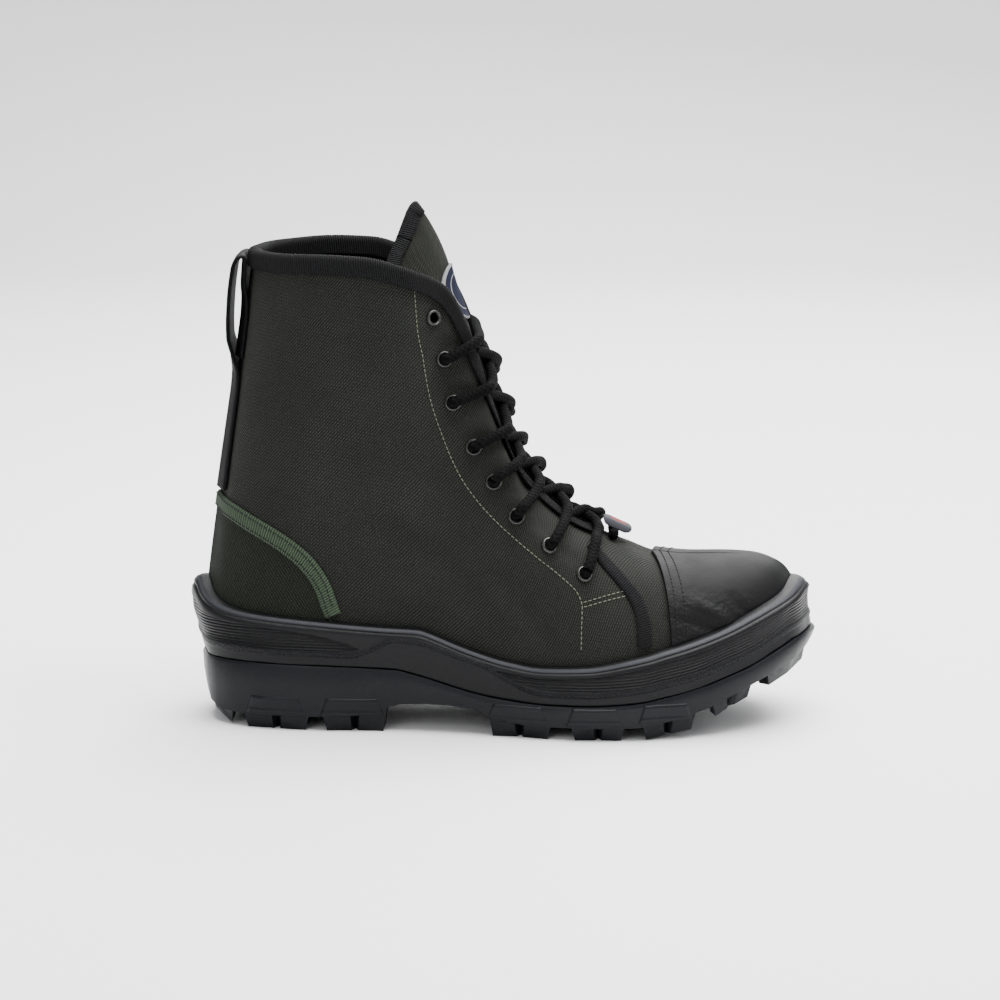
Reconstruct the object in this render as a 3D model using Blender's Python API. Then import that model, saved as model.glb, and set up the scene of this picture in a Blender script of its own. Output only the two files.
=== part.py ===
"""Laced canvas and leather jungle boot, right foot, size EU 42, in metres.

+X runs to the toe, -Y is the outer side of the foot and +Z is up. The floor is
the plane Z = 0 under the heel and forefoot lugs.
"""
import math

import bmesh
import bpy
import numpy as np
from mathutils import Vector
from mathutils.bvhtree import BVHTree

MM = 0.001

# Last and upper
LAST_LENGTH = 285.0 * MM      # heel back to toe tip, inside the rand
BALL_HALF = 50.0 * MM         # outer half width across the ball
COLLAR_HEIGHT = 226.0 * MM    # canvas edge of the collar over the floor
COLLAR_HALF = 41.0 * MM       # half width of the collar
WALL = 2.2 * MM               # canvas, lining and interlining
HEEL_BED = 46.0 * MM          # footbed height under the heel
CLEAR = 0.3 * MM              # gap between pieces that touch
BINDING_GAP = 1.05 * MM       # play of the binding over the folded canvas edge
SOLE_GAP = 0.45 * MM          # glue line between midsole and outsole

# Sole
RAND_HEIGHT = 68.0 * MM       # top of the rand at the heel back, over the floor
RAND_WALL = 6.6 * MM          # thickness of the rand outside the upper
LEDGE_HEIGHT = 33.0 * MM      # parting line between rand and outsole at the heel
BASE_HEIGHT = 7.0 * MM        # depth of the tread under the outsole's web
LUG_TAPER = 2.2 * MM          # draft of a lug from root to floor
LUG_REACH = 19.0 * MM         # how far an edge lug runs inwards
LUG_SINK = 1.5 * MM           # how far a lug is rooted in the web
SLIT = 2.4 * MM               # half width of the notch in an edge lug
INSOLE_THICK = 3.0 * MM
CUP_FLOOR = 5.0 * MM         # least thickness of the midsole under the footbed

# Overlays
CAP_THICK = 1.7 * MM
COUNTER_THICK = 1.2 * MM
TAPE_WIDTH = 8.0 * MM
TAPE_THICK = 1.3 * MM
BINDING_WIDTH = 6.6 * MM
BINDING_THICK = 1.0 * MM
STRAP_HALF = 13.0 * MM
STRAP_THICK = 2.0 * MM
LOOP_SLIT = 3.3 * MM
TONGUE_THICK = 3.0 * MM
TONGUE_WING = 14.0 * MM       # reach of the tongue behind the throat edge
TONGUE_CROWN = 5.0 * MM       # bow of the tongue over the gap
TONGUE_LENGTH = 45.0 * MM     # free end over the collar corner
PATCH_THICK = 1.2 * MM
PATCH_RADIUS = 14.0 * MM

# Lacing
EYELET_RADIUS = 4.1 * MM
EYELET_HOLE = 2.7 * MM
EYELET_RISE = 1.3 * MM
LACE_RADIUS = 2.3 * MM
TAG_LENGTH = 15.0 * MM
TAG_WIDTH = 12.0 * MM
TAG_THICK = 2.4 * MM

# Ribs of the upper from heel back to toe tip. A rib is a cubic curve from the
# footbed edge to the collar, throat or ridge. foot and top are shares of
# LAST_LENGTH from the heel back, lat and med shares of BALL_HALF, high a share
# of COLLAR_HEIGHT, half a share of COLLAR_HALF. bow and rise set how the curve
# leaves the footbed, spread and drop how it comes in to the top, sweep and
# trail its lean in side view. wide, skirt and tread are shares of RAND_WALL:
# how far rand, ledge and outsole stand outside the rib.
RIB_COLUMNS = ("foot", "lat", "med", "top", "high", "half", "bow", "rise",
               "spread", "drop", "sweep", "trail", "wide", "skirt", "tread")
RIBS = (
    (0.000, 0.00, 0.00, 0.089, 1.000, 0.00, 0.0, 0.33, 0.30, 0.33, 0.25, 0.27, 1.00, 0.10, 0.24),
    (0.028, 0.37, 0.35, 0.106, 1.000, 0.41, 0.0, 0.33, 0.55, 0.33, 0.27, 0.30, 1.00, 0.50, 0.68),
    (0.084, 0.57, 0.54, 0.141, 1.000, 0.73, 0.1, 0.33, 0.75, 0.33, 0.30, 0.33, 1.00, 0.68, 0.90),
    (0.168, 0.67, 0.63, 0.204, 1.002, 0.94, 0.0, 0.33, 0.80, 0.33, 0.33, 0.33, 1.00, 0.80, 1.00),
    (0.266, 0.70, 0.63, 0.281, 0.998, 1.00, 0.0, 0.33, 0.80, 0.33, 0.33, 0.33, 1.00, 0.80, 1.00),
    (0.354, 0.72, 0.60, 0.350, 0.974, 0.88, 0.0, 0.33, 0.60, 0.33, 0.33, 0.33, 1.00, 0.70, 0.90),
    (0.435, 0.79, 0.61, 0.412, 0.930, 0.55, -0.02, 0.33, 0.55, 0.33, 0.30, 0.40, 0.95, 0.65, 0.90),
    (0.522, 0.88, 0.68, 0.456, 0.817, 0.48, -0.05, 0.34, 0.62, 0.30, 0.25, 0.42, 0.95, 0.65, 0.95),
    (0.596, 0.97, 0.80, 0.486, 0.695, 0.45, -0.06, 0.35, 0.68, 0.31, 0.20, 0.45, 0.95, 0.70, 1.00),
    (0.659, 1.01, 0.89, 0.523, 0.571, 0.43, -0.06, 0.38, 0.72, 0.33, 0.14, 0.45, 0.95, 0.75, 1.05),
    (0.708, 1.01, 0.93, 0.582, 0.480, 0.37, -0.06, 0.42, 0.74, 0.32, 0.08, 0.50, 0.95, 0.75, 1.05),
    (0.743, 0.99, 0.93, 0.635, 0.425, 0.24, -0.05, 0.50, 0.74, 0.24, 0.03, 0.55, 0.98, 0.80, 1.05),
    (0.768, 0.96, 0.92, 0.702, 0.383, 0.00, -0.05, 0.58, 0.72, 0.09, 0.0, 0.60, 1.00, 0.85, 1.05),
    (0.792, 0.93, 0.90, 0.761, 0.350, 0.00, -0.05, 0.64, 0.72, 0.0, 0.0, 0.60, 1.03, 0.90, 1.10),
    (0.862, 0.80, 0.79, 0.820, 0.343, 0.00, -0.06, 0.68, 0.76, 0.0, -0.06, 0.72, 1.12, 1.05, 1.30),
    (0.932, 0.58, 0.61, 0.866, 0.343, 0.00, -0.08, 0.72, 0.82, -0.02, -0.10, 0.82, 1.25, 1.25, 1.55),
    (0.980, 0.29, 0.36, 0.896, 0.342, 0.00, -0.10, 0.76, 0.86, -0.03, -0.10, 0.86, 1.32, 1.45, 1.75),
    (1.000, -0.03, 0.03, 0.910, 0.341, 0.00, -0.10, 0.78, 0.86, -0.03, -0.10, 0.86, 1.35, 1.50, 1.80),
)

# Heights along the boot. at is a share of LAST_LENGTH from the heel back. bed
# is a share of HEEL_BED, rand of RAND_HEIGHT, ledge of LEDGE_HEIGHT; base and
# lug are shares of LEDGE_HEIGHT too: the outsole's web and the lug ends.
LEVEL_COLUMNS = ("at", "bed", "rand", "ledge", "base", "lug")
LEVELS = (
    (-0.010, 1.00, 1.005, 0.97, 0.56, 0.50),
    (0.002, 1.00, 1.000, 0.98, 0.42, 0.36),
    (0.016, 1.00, 0.930, 0.99, 0.28, 0.20),
    (0.040, 1.00, 0.870, 1.00, 0.21, 0.06),
    (0.070, 1.00, 0.840, 1.00, 0.21, 0.00),
    (0.170, 0.99, 0.800, 0.99, 0.21, 0.00),
    (0.270, 0.96, 0.765, 0.97, 0.24, 0.00),
    (0.325, 0.93, 0.750, 0.95, 0.40, 0.00),
    (0.370, 0.88, 0.742, 0.86, 0.43, 0.00),
    (0.400, 0.84, 0.705, 0.79, 0.43, 0.00),
    (0.440, 0.79, 0.640, 0.69, 0.42, 0.00),
    (0.480, 0.74, 0.585, 0.61, 0.34, 0.00),
    (0.520, 0.70, 0.542, 0.56, 0.21, 0.00),
    (0.580, 0.64, 0.510, 0.52, 0.19, 0.00),
    (0.650, 0.60, 0.520, 0.52, 0.19, 0.00),
    (0.740, 0.60, 0.590, 0.57, 0.20, 0.01),
    (0.780, 0.61, 0.635, 0.64, 0.26, 0.06),
    (0.830, 0.64, 0.695, 0.73, 0.36, 0.15),
    (0.880, 0.71, 0.770, 0.88, 0.54, 0.37),
    (0.930, 0.80, 0.865, 1.03, 0.74, 0.58),
    (0.975, 0.89, 0.945, 1.22, 0.90, 0.73),
    (1.000, 0.94, 1.005, 1.31, 1.00, 0.82),
    (1.045, 0.97, 1.030, 1.36, 1.20, 1.08),
)
HEEL_BACK = -LAST_LENGTH * 0.5124


def smooth_table(rows, columns, key, wanted):
    """Read a table at the wanted key values with monotone cubic curves."""
    data = np.array(rows, dtype=float)
    at = data[:, columns.index(key)] if key else np.arange(len(rows), dtype=float)
    step = np.diff(at)[:, None]
    slope = np.diff(data, axis=0) / step
    same = slope[1:] * slope[:-1] > 0.0
    total = np.where(np.abs(slope[1:] + slope[:-1]) < 1e-12, 1.0, slope[1:] + slope[:-1])
    inner = np.where(same, 2.0 * slope[1:] * slope[:-1] / total, 0.0)
    tangent = np.vstack([slope[:1], inner, slope[-1:]])
    wanted = np.clip(np.asarray(wanted, dtype=float), at[0], at[-1])
    cell = np.clip(np.searchsorted(at, wanted, side="right") - 1, 0, len(at) - 2)
    width = (at[cell + 1] - at[cell])[:, None]
    t = ((wanted - at[cell])[:, None]) / width
    h00 = 2 * t**3 - 3 * t**2 + 1
    h10 = t**3 - 2 * t**2 + t
    h01 = -2 * t**3 + 3 * t**2
    h11 = t**3 - t**2
    value = h00 * data[cell] + h10 * width * tangent[cell]
    value = value + h01 * data[cell + 1] + h11 * width * tangent[cell + 1]
    return {name: value[:, i] for i, name in enumerate(columns)}


def level(name, x):
    """Height of one named level line at world x."""
    shares = (np.atleast_1d(np.asarray(x, dtype=float)) - HEEL_BACK) / LAST_LENGTH
    unit = {"bed": HEEL_BED, "rand": RAND_HEIGHT, "ledge": LEDGE_HEIGHT,
            "base": LEDGE_HEIGHT, "lug": LEDGE_HEIGHT}[name]
    return smooth_table(LEVELS, LEVEL_COLUMNS, "at", shares)[name] * unit


STATIONS = len(RIBS) - 1.0
RIDGE_FROM = 12.0             # first rib whose top lies on the ridge


def ribs_of_side(station, side):
    """Control points of the ribs at the given stations of one side."""
    row = smooth_table(RIBS, RIB_COLUMNS, None, station)
    foot_x = HEEL_BACK + row["foot"] * LAST_LENGTH
    foot_y = (row["lat"] if side < 0 else row["med"]) * BALL_HALF * side
    foot_z = level("bed", foot_x) + CLEAR
    top_x = HEEL_BACK + row["top"] * LAST_LENGTH
    top_y = row["half"] * COLLAR_HALF * side
    top_z = row["high"] * COLLAR_HEIGHT
    tall = top_z - foot_z
    p0 = np.stack([foot_x, foot_y, foot_z], 1)
    p1 = np.stack([foot_x + row["sweep"] * (top_x - foot_x),
                   foot_y + row["bow"] * (top_y - foot_y),
                   foot_z + row["rise"] * tall], 1)
    p2 = np.stack([top_x + row["trail"] * (foot_x - top_x),
                   top_y + row["spread"] * (foot_y - top_y),
                   top_z - row["drop"] * tall], 1)
    p3 = np.stack([top_x, top_y, top_z], 1)
    return p0, p1, p2, p3


def shell_point(ring, share):
    """Points of the upper's outer surface, any shape of ring and share.

    ring runs once round the foot: 0 is the back seam, STATIONS the toe tip
    and 2 * STATIONS the back seam again; the first half is the outer side.
    share runs from the footbed edge, 0, to the top of the rib, 1.
    """
    ring, share = np.broadcast_arrays(np.asarray(ring, float), np.asarray(share, float))
    shape = ring.shape
    turn = np.mod(ring.ravel(), 2.0 * STATIONS)
    outer = turn <= STATIONS
    station = np.where(outer, turn, 2.0 * STATIONS - turn)
    lateral = ribs_of_side(station, -1)
    medial = ribs_of_side(station, 1)
    p0, p1, p2, p3 = (np.where(outer[:, None], a, b) for a, b in zip(lateral, medial))
    t = share.ravel()[:, None]
    s = 1.0 - t
    point = s**3 * p0 + 3 * s**2 * t * p1 + 3 * s * t**2 * p2 + t**3 * p3
    return point.reshape(shape + (3,))


def shell_normal(ring, share):
    """Outward normals of the upper at ring and share."""
    ring, share = np.broadcast_arrays(np.asarray(ring, float), np.asarray(share, float))
    step = 0.03
    near = np.minimum(share, 0.98)

    def across(turn):
        along = shell_point(turn + step, near) - shell_point(turn - step, near)
        rise = shell_point(turn, near + 0.02) - shell_point(turn, np.maximum(near - step, 0.0))
        normal = np.cross(along, rise)
        return normal / np.linalg.norm(normal, axis=-1, keepdims=True)

    normal = across(ring)
    station = STATIONS - np.abs(STATIONS - np.mod(ring, 2.0 * STATIONS))
    ridge = (share > 0.999) & (station >= RIDGE_FROM)
    normal = np.where(ridge[..., None], normal + across(-ring), normal)
    return normal / np.linalg.norm(normal, axis=-1, keepdims=True)


def shell(ring, share, offset=0.0):
    """Upper surface moved out by offset along its normal."""
    moved = shell_normal(ring, share) * np.asarray(offset, float)[..., None]
    return shell_point(ring, share) + moved


def share_at_height(ring, z):
    """Rib share at which each rib of the ring first reaches height z."""
    shares = np.linspace(0.0, 1.0, 81)
    ring = np.atleast_1d(np.asarray(ring, float))
    z = np.broadcast_to(np.asarray(z, float), ring.shape)
    heights = shell_point(ring[:, None], shares[None, :])[..., 2]
    return np.array([np.interp(v, np.maximum.accumulate(h), shares) for v, h in zip(z, heights)])


def place(x, z, side):
    """Ring and share of the surface point seen from the side at x, z."""
    stations = np.linspace(0.0, STATIONS, 171)
    ring = stations if side < 0 else 2.0 * STATIONS - stations
    shares = np.linspace(0.0, 1.0, 81)
    grid = shell_point(ring[:, None], shares[None, :])
    far = (grid[..., 0] - x) ** 2 + (grid[..., 2] - z) ** 2
    i, j = np.unravel_index(np.argmin(far), far.shape)
    return slide(ring[i], shares[j], np.array([x, np.nan, z]) - grid[i, j])


def slide(ring, share, move):
    """Ring and share after a small move over the surface from a point."""
    target = shell_point(ring, share) + move
    flat = ~np.isnan(move)
    for _ in range(3):
        here = shell_point(ring, share)
        dr = (shell_point(ring + 0.01, share) - here) / 0.01
        dt = (shell_point(ring, share - 0.01) - here) / -0.01
        jac = np.stack([dr, dt], 1)[flat]
        change = np.linalg.lstsq(jac, (target - here)[flat], rcond=None)[0]
        ring = ring + np.clip(change[0], -1.0, 1.0)
        share = min(max(share + np.clip(change[1], -0.3, 0.3), 0.0), 1.0)
    return ring, share


def new_object(name, colour, rough, metal, points, faces):
    """Closed mesh object with its own material; points are welded first."""
    mesh = bpy.data.meshes.new(name)
    mesh.from_pydata([tuple(p) for p in points], [], [tuple(f) for f in faces])
    work = bmesh.new()
    work.from_mesh(mesh)
    bmesh.ops.remove_doubles(work, verts=work.verts, dist=0.000002)
    bmesh.ops.dissolve_degenerate(work, edges=work.edges, dist=0.000002)
    bmesh.ops.recalc_face_normals(work, faces=work.faces)
    work.to_mesh(mesh)
    work.free()
    for polygon in mesh.polygons:
        polygon.use_smooth = True
    item = bpy.data.objects.new(name, mesh)
    bpy.context.scene.collection.objects.link(item)
    material = bpy.data.materials.new(name + "_finish")
    material.use_nodes = True
    node = material.node_tree.nodes["Principled BSDF"]
    node.inputs["Base Color"].default_value = (*colour, 1.0)
    node.inputs["Roughness"].default_value = rough
    node.inputs["Metallic"].default_value = metal
    mesh.materials.append(material)
    return item


def grid_faces(start, rows, columns, wrap=False, flip=False):
    """Quads of a grid of points stored row by row from index start."""
    faces = []
    for i in range(rows - 1 + (1 if wrap else 0)):
        for j in range(columns - 1):
            a = start + i * columns + j
            b = start + ((i + 1) % rows) * columns + j
            faces.append((a, a + 1, b + 1, b) if flip else (a, b, b + 1, a + 1))
    return faces


def thick_grid(outer, inner, wrap=False, open_top=None):
    """Points and faces of the wall between two grids of the same shape.

    open_top marks, row by row, where the last column is an edge; elsewhere
    the two halves of the wall meet there and weld.
    """
    rows, columns = outer.shape[:2]
    count = rows * columns
    points = np.vstack([outer.reshape(-1, 3), inner.reshape(-1, 3)])
    faces = grid_faces(0, rows, columns, wrap)
    faces += grid_faces(count, rows, columns, wrap, flip=True)
    for i in range(rows - 1 + (1 if wrap else 0)):
        a, b = i * columns, ((i + 1) % rows) * columns
        faces.append((a, a + count, b + count, b))
        if open_top is None or open_top[i] or open_top[(i + 1) % rows]:
            c, d = a + columns - 1, b + columns - 1
            faces.append((c, d, d + count, c + count))
    if not wrap:
        for row in (0, rows - 1):
            for j in range(columns - 1):
                a = row * columns + j
                quad = (a, a + 1, a + 1 + count, a + count)
                faces.append(quad if row == 0 else quad[::-1])
    return points, faces


def tube_of_sections(sections, wrap=False):
    """Closed solid swept through sections of equal point count, (n, m, 3)."""
    count, around = sections.shape[:2]
    faces = []
    for i in range(count - 1 + (1 if wrap else 0)):
        for j in range(around):
            a, b = i * around, ((i + 1) % count) * around
            k = (j + 1) % around
            faces.append((a + j, a + k, b + k, b + j))
    if not wrap:
        faces.append(tuple(range(around))[::-1])
        faces.append(tuple((count - 1) * around + j for j in range(around)))
    return sections.reshape(-1, 3), faces


def smooth_path(points, count):
    """Even resampling of a smooth curve through the given rows of numbers."""
    points = np.asarray(points, dtype=float)
    reach = np.concatenate([[0.0], np.cumsum(np.linalg.norm(np.diff(points, axis=0), axis=1))])
    rows = np.column_stack([reach, points])
    names = ("at",) + tuple(str(i) for i in range(points.shape[1]))
    read = smooth_table(rows, names, "at", np.linspace(0.0, reach[-1], count))
    return np.column_stack([read[name] for name in names[1:]])


def shell_strip(track, width, low, high, across=(-1.0, 0.0, 1.0)):
    """Flat band lying on the shell along a track of (ring, share) rows."""
    centre = np.array([shell_point(r, s) for r, s in track])
    ahead = np.gradient(centre, axis=0)
    normal = np.array([shell_normal(r, s) for r, s in track])
    sideways = np.cross(normal, ahead)
    sideways /= np.linalg.norm(sideways, axis=1)[:, None]
    sections = []
    for (r, s), aside in zip(track, sideways):
        spots = [slide(r, s, aside * u * width / 2.0) for u in across]
        top = [shell(a, b, high) for a, b in spots]
        bottom = [shell(a, b, low) for a, b in spots]
        sections.append(top + bottom[::-1])
    return tube_of_sections(np.array(sections))


CANVAS = (0.030, 0.033, 0.027)
CLOTH = (0.042, 0.047, 0.036)
BLACK = (0.011, 0.011, 0.012)
RUBBER = (0.016, 0.017, 0.021)
TAPE_GREEN = (0.060, 0.090, 0.058)

for old in list(bpy.data.objects):
    bpy.data.objects.remove(old, do_unlink=True)

# Ribs used by the meshes, once round the foot, finer at heel and toe
SIDE_RIBS = np.array([0.0, 0.4, 0.8, 1.2, 1.7, 2.4, 3.2, 4.0, 4.8, 5.4, 5.9, 6.3, 6.7, 7.3, 7.9, 8.5, 9.1, 9.8,
                      10.5, 11.25, 12.0, 12.5, 13.0, 13.8, 14.6, 15.2, 15.8, 16.2, 16.6, 17.0])
RING = np.concatenate([SIDE_RIBS, 2.0 * STATIONS - SIDE_RIBS[-2:0:-1]])
RING_STATION = STATIONS - np.abs(STATIONS - RING)
HALF_AT = smooth_table(RIBS, RIB_COLUMNS, None, RING_STATION)
SHARES = np.array([0.0, 0.07, 0.15, 0.24, 0.34, 0.45, 0.56, 0.67, 0.78, 0.88, 0.95, 1.0])

# Upper: one hollow wall, open at collar, throat and underneath
outer = shell(RING[:, None], SHARES[None, :])
inner = shell(RING[:, None], SHARES[None, :], np.full((len(RING), len(SHARES)), -WALL))
inner[..., 2] = np.maximum(inner[..., 2], outer[:, :1, 2] - 0.0)
points, faces = thick_grid(outer, inner, wrap=True, open_top=HALF_AT["half"] > 1e-6)
upper = new_object("upper", CANVAS, 0.85, 0.0, points, faces)

# Plan normals of the footbed edge carry rand, ledge and outsole
FOOT = shell_point(RING, np.zeros(len(RING)))
ROUND = np.roll(FOOT, -1, axis=0) - np.roll(FOOT, 1, axis=0)
OUTWARD = np.stack([ROUND[:, 1], -ROUND[:, 0], np.zeros(len(RING))], 1)
OUTWARD /= np.linalg.norm(OUTWARD, axis=1)[:, None]
WIDE, SKIRT, TREAD = (HALF_AT[name] * RAND_WALL for name in ("wide", "skirt", "tread"))


def foot_ring(out, z):
    """Ring of points out from the footbed edge, at heights or a named level z."""
    ring = FOOT + OUTWARD * np.asarray(out)[:, None]
    ring[:, 2] = level(z, ring[:, 0]) if isinstance(z, str) else z
    return ring


def capped_ring(rows):
    """Closed solid from stacked rings; first and last are floored across."""
    count, around = len(rows), len(rows[0])
    points = np.vstack(rows)
    faces = []
    for i in range(count - 1):
        for j in range(around):
            k = (j + 1) % around
            faces.append((i * around + j, i * around + k, (i + 1) * around + k, (i + 1) * around + j))
    half = around // 2
    for base, order in ((0, 1), ((count - 1) * around, -1)):
        for j in range(half):
            a, b = j, j + 1
            c, d = (around - j - 1) % around, (around - j) % around
            quad = [base + i for i in dict.fromkeys((a, b, c, d))]
            if len(quad) > 2:
                faces.append(tuple(quad[::order]))
    return points, faces


# Midsole: the moulded cup of the sole, its rim the rand round the upper
RAND = level("rand", FOOT[:, 0])
LEDGE = foot_ring(SKIRT, "ledge")[:, 2]
BED = level("bed", FOOT[:, 0])
FLOOR_Z = np.minimum(LEDGE, BED - CUP_FLOOR)
FLOOR_IN = np.full(len(RING), -0.3 * RAND_WALL)
rim_share = share_at_height(RING, RAND)
rim_wall = shell(RING, rim_share, np.full(len(RING), CLEAR))
rim_lip = rim_wall + OUTWARD * (0.18 * WIDE)[:, None]
rim_lip[:, 2] = RAND + 0.2 * MM
span = RAND - LEDGE
rows = [foot_ring(FLOOR_IN, FLOOR_Z),
        foot_ring(SKIRT, LEDGE),
        foot_ring(0.45 * SKIRT + 0.5 * WIDE, LEDGE + 0.30 * span),
        foot_ring(0.96 * WIDE, LEDGE + 0.58 * span),
        foot_ring(WIDE, LEDGE + 0.78 * span)]
crown = 0.45 * rim_wall + 0.55 * foot_ring(WIDE, RAND)
shoulder = 0.18 * rim_wall + 0.82 * foot_ring(WIDE, RAND)
crown[:, 2] = RAND - 0.6 * MM
shoulder[:, 2] = RAND - 2.2 * MM
rim_top = rim_wall + OUTWARD * (0.5 * MM)
rim_top[:, 2] = RAND
mid_wall = shell(RING, 0.5 * rim_share, np.full(len(RING), CLEAR))
foot_wall = shell(RING, np.zeros(len(RING)), np.full(len(RING), CLEAR))
foot_wall[:, 2] = BED
rows += [shoulder, crown, rim_lip, rim_top, mid_wall, foot_wall]
points, faces = capped_ring(rows)
midsole = new_object("midsole", RUBBER, 0.5, 0.0, points, faces)

# Insole: a flat board with foam, lying on the cup inside the upper
inset = foot_ring(np.full(len(RING), -WALL - 0.6 * MM), BED + CLEAR)
inset_top = foot_ring(np.full(len(RING), -WALL - 0.6 * MM), BED + CLEAR + INSOLE_THICK)
points, faces = capped_ring([inset, inset_top])
insole = new_object("insole", (0.02, 0.02, 0.02), 0.8, 0.0, points, faces)

# Outsole web
LEDGE_TOP = LEDGE - SOLE_GAP
web = foot_ring(TREAD - 0.22 * RAND_WALL, "base")
rows = [foot_ring(FLOOR_IN, FLOOR_Z - SOLE_GAP),
        foot_ring(SKIRT, LEDGE_TOP),
        foot_ring(TREAD - 0.12 * RAND_WALL, LEDGE_TOP),
        foot_ring(TREAD, LEDGE_TOP - 1.6 * MM),
        foot_ring(TREAD - 0.06 * RAND_WALL, 0.55 * web[:, 2] + 0.45 * LEDGE_TOP),
        web]
points, faces = capped_ring(rows)
outsole = new_object("outsole", RUBBER, 0.55, 0.0, points, faces)

# Edge lugs by side, as shares of LAST_LENGTH: from, to, reach inwards as a
# share of LUG_REACH, notch as a share of SLIT
EDGE_LUGS = (
    (0.078, 0.187, 1.0, 1.0),
    (0.209, 0.318, 1.0, 1.0),
    (0.490, 0.595, 1.0, 1.0),
    (0.627, 0.714, 1.0, 1.0),
    (0.741, 0.826, 1.0, 1.0),
    (0.853, 0.914, 0.9, 0.9),
    (0.935, 0.990, 0.75, 0.0),
)
# Centre lugs: from, to, half width as a share of BALL_HALF, sweep of the
# chevron as a share of its length
CENTRE_LUGS = (
    (0.120, 0.185, 0.22, 0.35),
    (0.215, 0.290, 0.22, 0.35),
    (0.510, 0.585, 0.34, 0.35),
    (0.630, 0.700, 0.44, 0.35),
    (0.745, 0.810, 0.40, 0.35),
    (0.850, 0.905, 0.26, 0.35),
)


def lug_block(plan, taper):
    """Tapered block from the outsole's web to the lug ends over a plan."""
    plan = np.array(plan)
    centre = plan.mean(axis=0)
    away = plan - centre
    away /= np.linalg.norm(away, axis=1)[:, None]
    small = plan - away * taper
    top = np.column_stack([plan, level("base", plan[:, 0]) + LUG_SINK])
    bottom = np.column_stack([small, level("lug", small[:, 0])])
    n = len(plan)
    faces = [tuple(range(n)), tuple(range(n, 2 * n))[::-1]]
    faces += [(j, n + j, n + (j + 1) % n, (j + 1) % n) for j in range(n)]
    return np.vstack([bottom, top]), faces


def ring_at_x(x, side):
    """Ring value whose footbed edge lies at world x."""
    stations = np.linspace(0.0, STATIONS, 341)
    edge = shell_point(stations, np.zeros(341))[:, 0]
    found = np.interp(x, edge, stations)
    return found if side < 0 else 2.0 * STATIONS - found


def edge_spot(x, side, out):
    """Plan point out from the footbed edge beside world x."""
    spot = ring_at_x(x, side)
    near = np.mod(spot - RING, 2.0 * STATIONS)
    index = int(np.argmin(np.minimum(near, 2.0 * STATIONS - near)))
    here = shell_point(spot, 0.0)
    tangent = shell_point(spot + 0.05, 0.0) - shell_point(spot - 0.05, 0.0)
    normal = np.array([tangent[1], -tangent[0]]) / np.hypot(tangent[0], tangent[1])
    return here[:2] + normal * (TREAD[index] + out)


blocks = []
for start, end, reach, notch in EDGE_LUGS:
    x0, x1 = (HEEL_BACK + LAST_LENGTH * share for share in (start, end))
    middle = 0.5 * (x0 + x1)
    for side in (-1, 1):
        out = -0.30 * RAND_WALL
        plan = [edge_spot(x0, side, out), edge_spot(middle - SLIT, side, out)]
        if notch > 0.0:
            plan.append(edge_spot(middle, side, out - 1.6 * notch * SLIT))
        plan += [edge_spot(middle + SLIT, side, out), edge_spot(x1, side, out)]
        far = [edge_spot(x1, side, out - reach * LUG_REACH), edge_spot(x0, side, out - reach * LUG_REACH)]
        for spot in far:
            spot[1] = side * max(side * spot[1], 4.0 * MM)
            spot[0] = min(max(spot[0], x0), x1)
        plan += far
        blocks.append(lug_block(plan if side > 0 else plan[::-1], LUG_TAPER))
for start, end, half, sweep in CENTRE_LUGS:
    x0, x1 = (HEEL_BACK + LAST_LENGTH * share for share in (start, end))
    half *= BALL_HALF
    tip = sweep * (x1 - x0)
    plan = [(x0, -half), (x1 - tip, -half), (x1, 0.0), (x1 - tip, half), (x0, half), (x0 + tip, 0.0)]
    blocks.append(lug_block(plan, 0.5 * LUG_TAPER))
x1 = HEEL_BACK + 0.060 * LAST_LENGTH
plan = [edge_spot(x1, -1, -0.3 * RAND_WALL), edge_spot(x1, 1, -0.3 * RAND_WALL)]
x0 = HEEL_BACK + 0.024 * LAST_LENGTH
plan += [edge_spot(x0, 1, -0.35 * RAND_WALL), (x0 - 2.2 * MM, 0.0), edge_spot(x0, -1, -0.35 * RAND_WALL)]
blocks.append(lug_block(plan, LUG_TAPER))
points, faces = [], []
for block_points, block_faces in blocks:
    faces += [tuple(i + len(points) for i in face) for face in block_faces]
    points += [tuple(p) for p in block_points]
lugs = new_object("lug_blocks", RUBBER, 0.55, 0.0, points, faces)
lugs.hide_render = True
lugs.display_type = "WIRE"
union = outsole.modifiers.new("lugs", "BOOLEAN")
union.operation = "UNION"
union.object = lugs
union.solver = "EXACT"

# Tongue: rows from the vamp up to the collar corner follow the upper's inner
# side, with a crown over the gap. station is a rib, wing how far the tongue
# reaches behind the throat edge, as a share of TONGUE_WING.
TONGUE_INSET = WALL + BINDING_GAP + BINDING_THICK + 3.4 * CLEAR
TONGUE_ROWS = ((11.8, 0.40), (11.35, 0.55), (10.9, 0.70), (10.3, 0.82), (9.6, 0.84), (9.0, 0.84),
               (8.0, 1.0), (7.3, 1.0), (6.75, 1.0))
# Rows over the collar: centre, height, half width, hang back of the wings and
# droop of the wings, all as shares of TONGUE_LENGTH, from the collar corner
TONGUE_TOP_COLUMNS = ("back", "high", "half", "hang", "droop")
TONGUE_TOP = (
    (0.020, 0.18, 0.56, 0.46, 0.05),
    (0.075, 0.38, 0.56, 0.56, 0.16),
    (0.170, 0.62, 0.50, 0.52, 0.30),
    (0.290, 0.84, 0.34, 0.34, 0.34),
    (0.400, 1.00, 0.10, 0.06, 0.06),
)


def throat_frame(station):
    """Edge point of the throat and its outward direction in side view."""
    edge = shell_point(station, 1.0)
    run = shell_point(station - 0.1, 1.0) - shell_point(station + 0.1, 1.0)
    run = np.array([run[0], 0.0, run[2]]) / np.hypot(run[0], run[2])
    return edge, np.array([run[2], 0.0, -run[0]])


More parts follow.
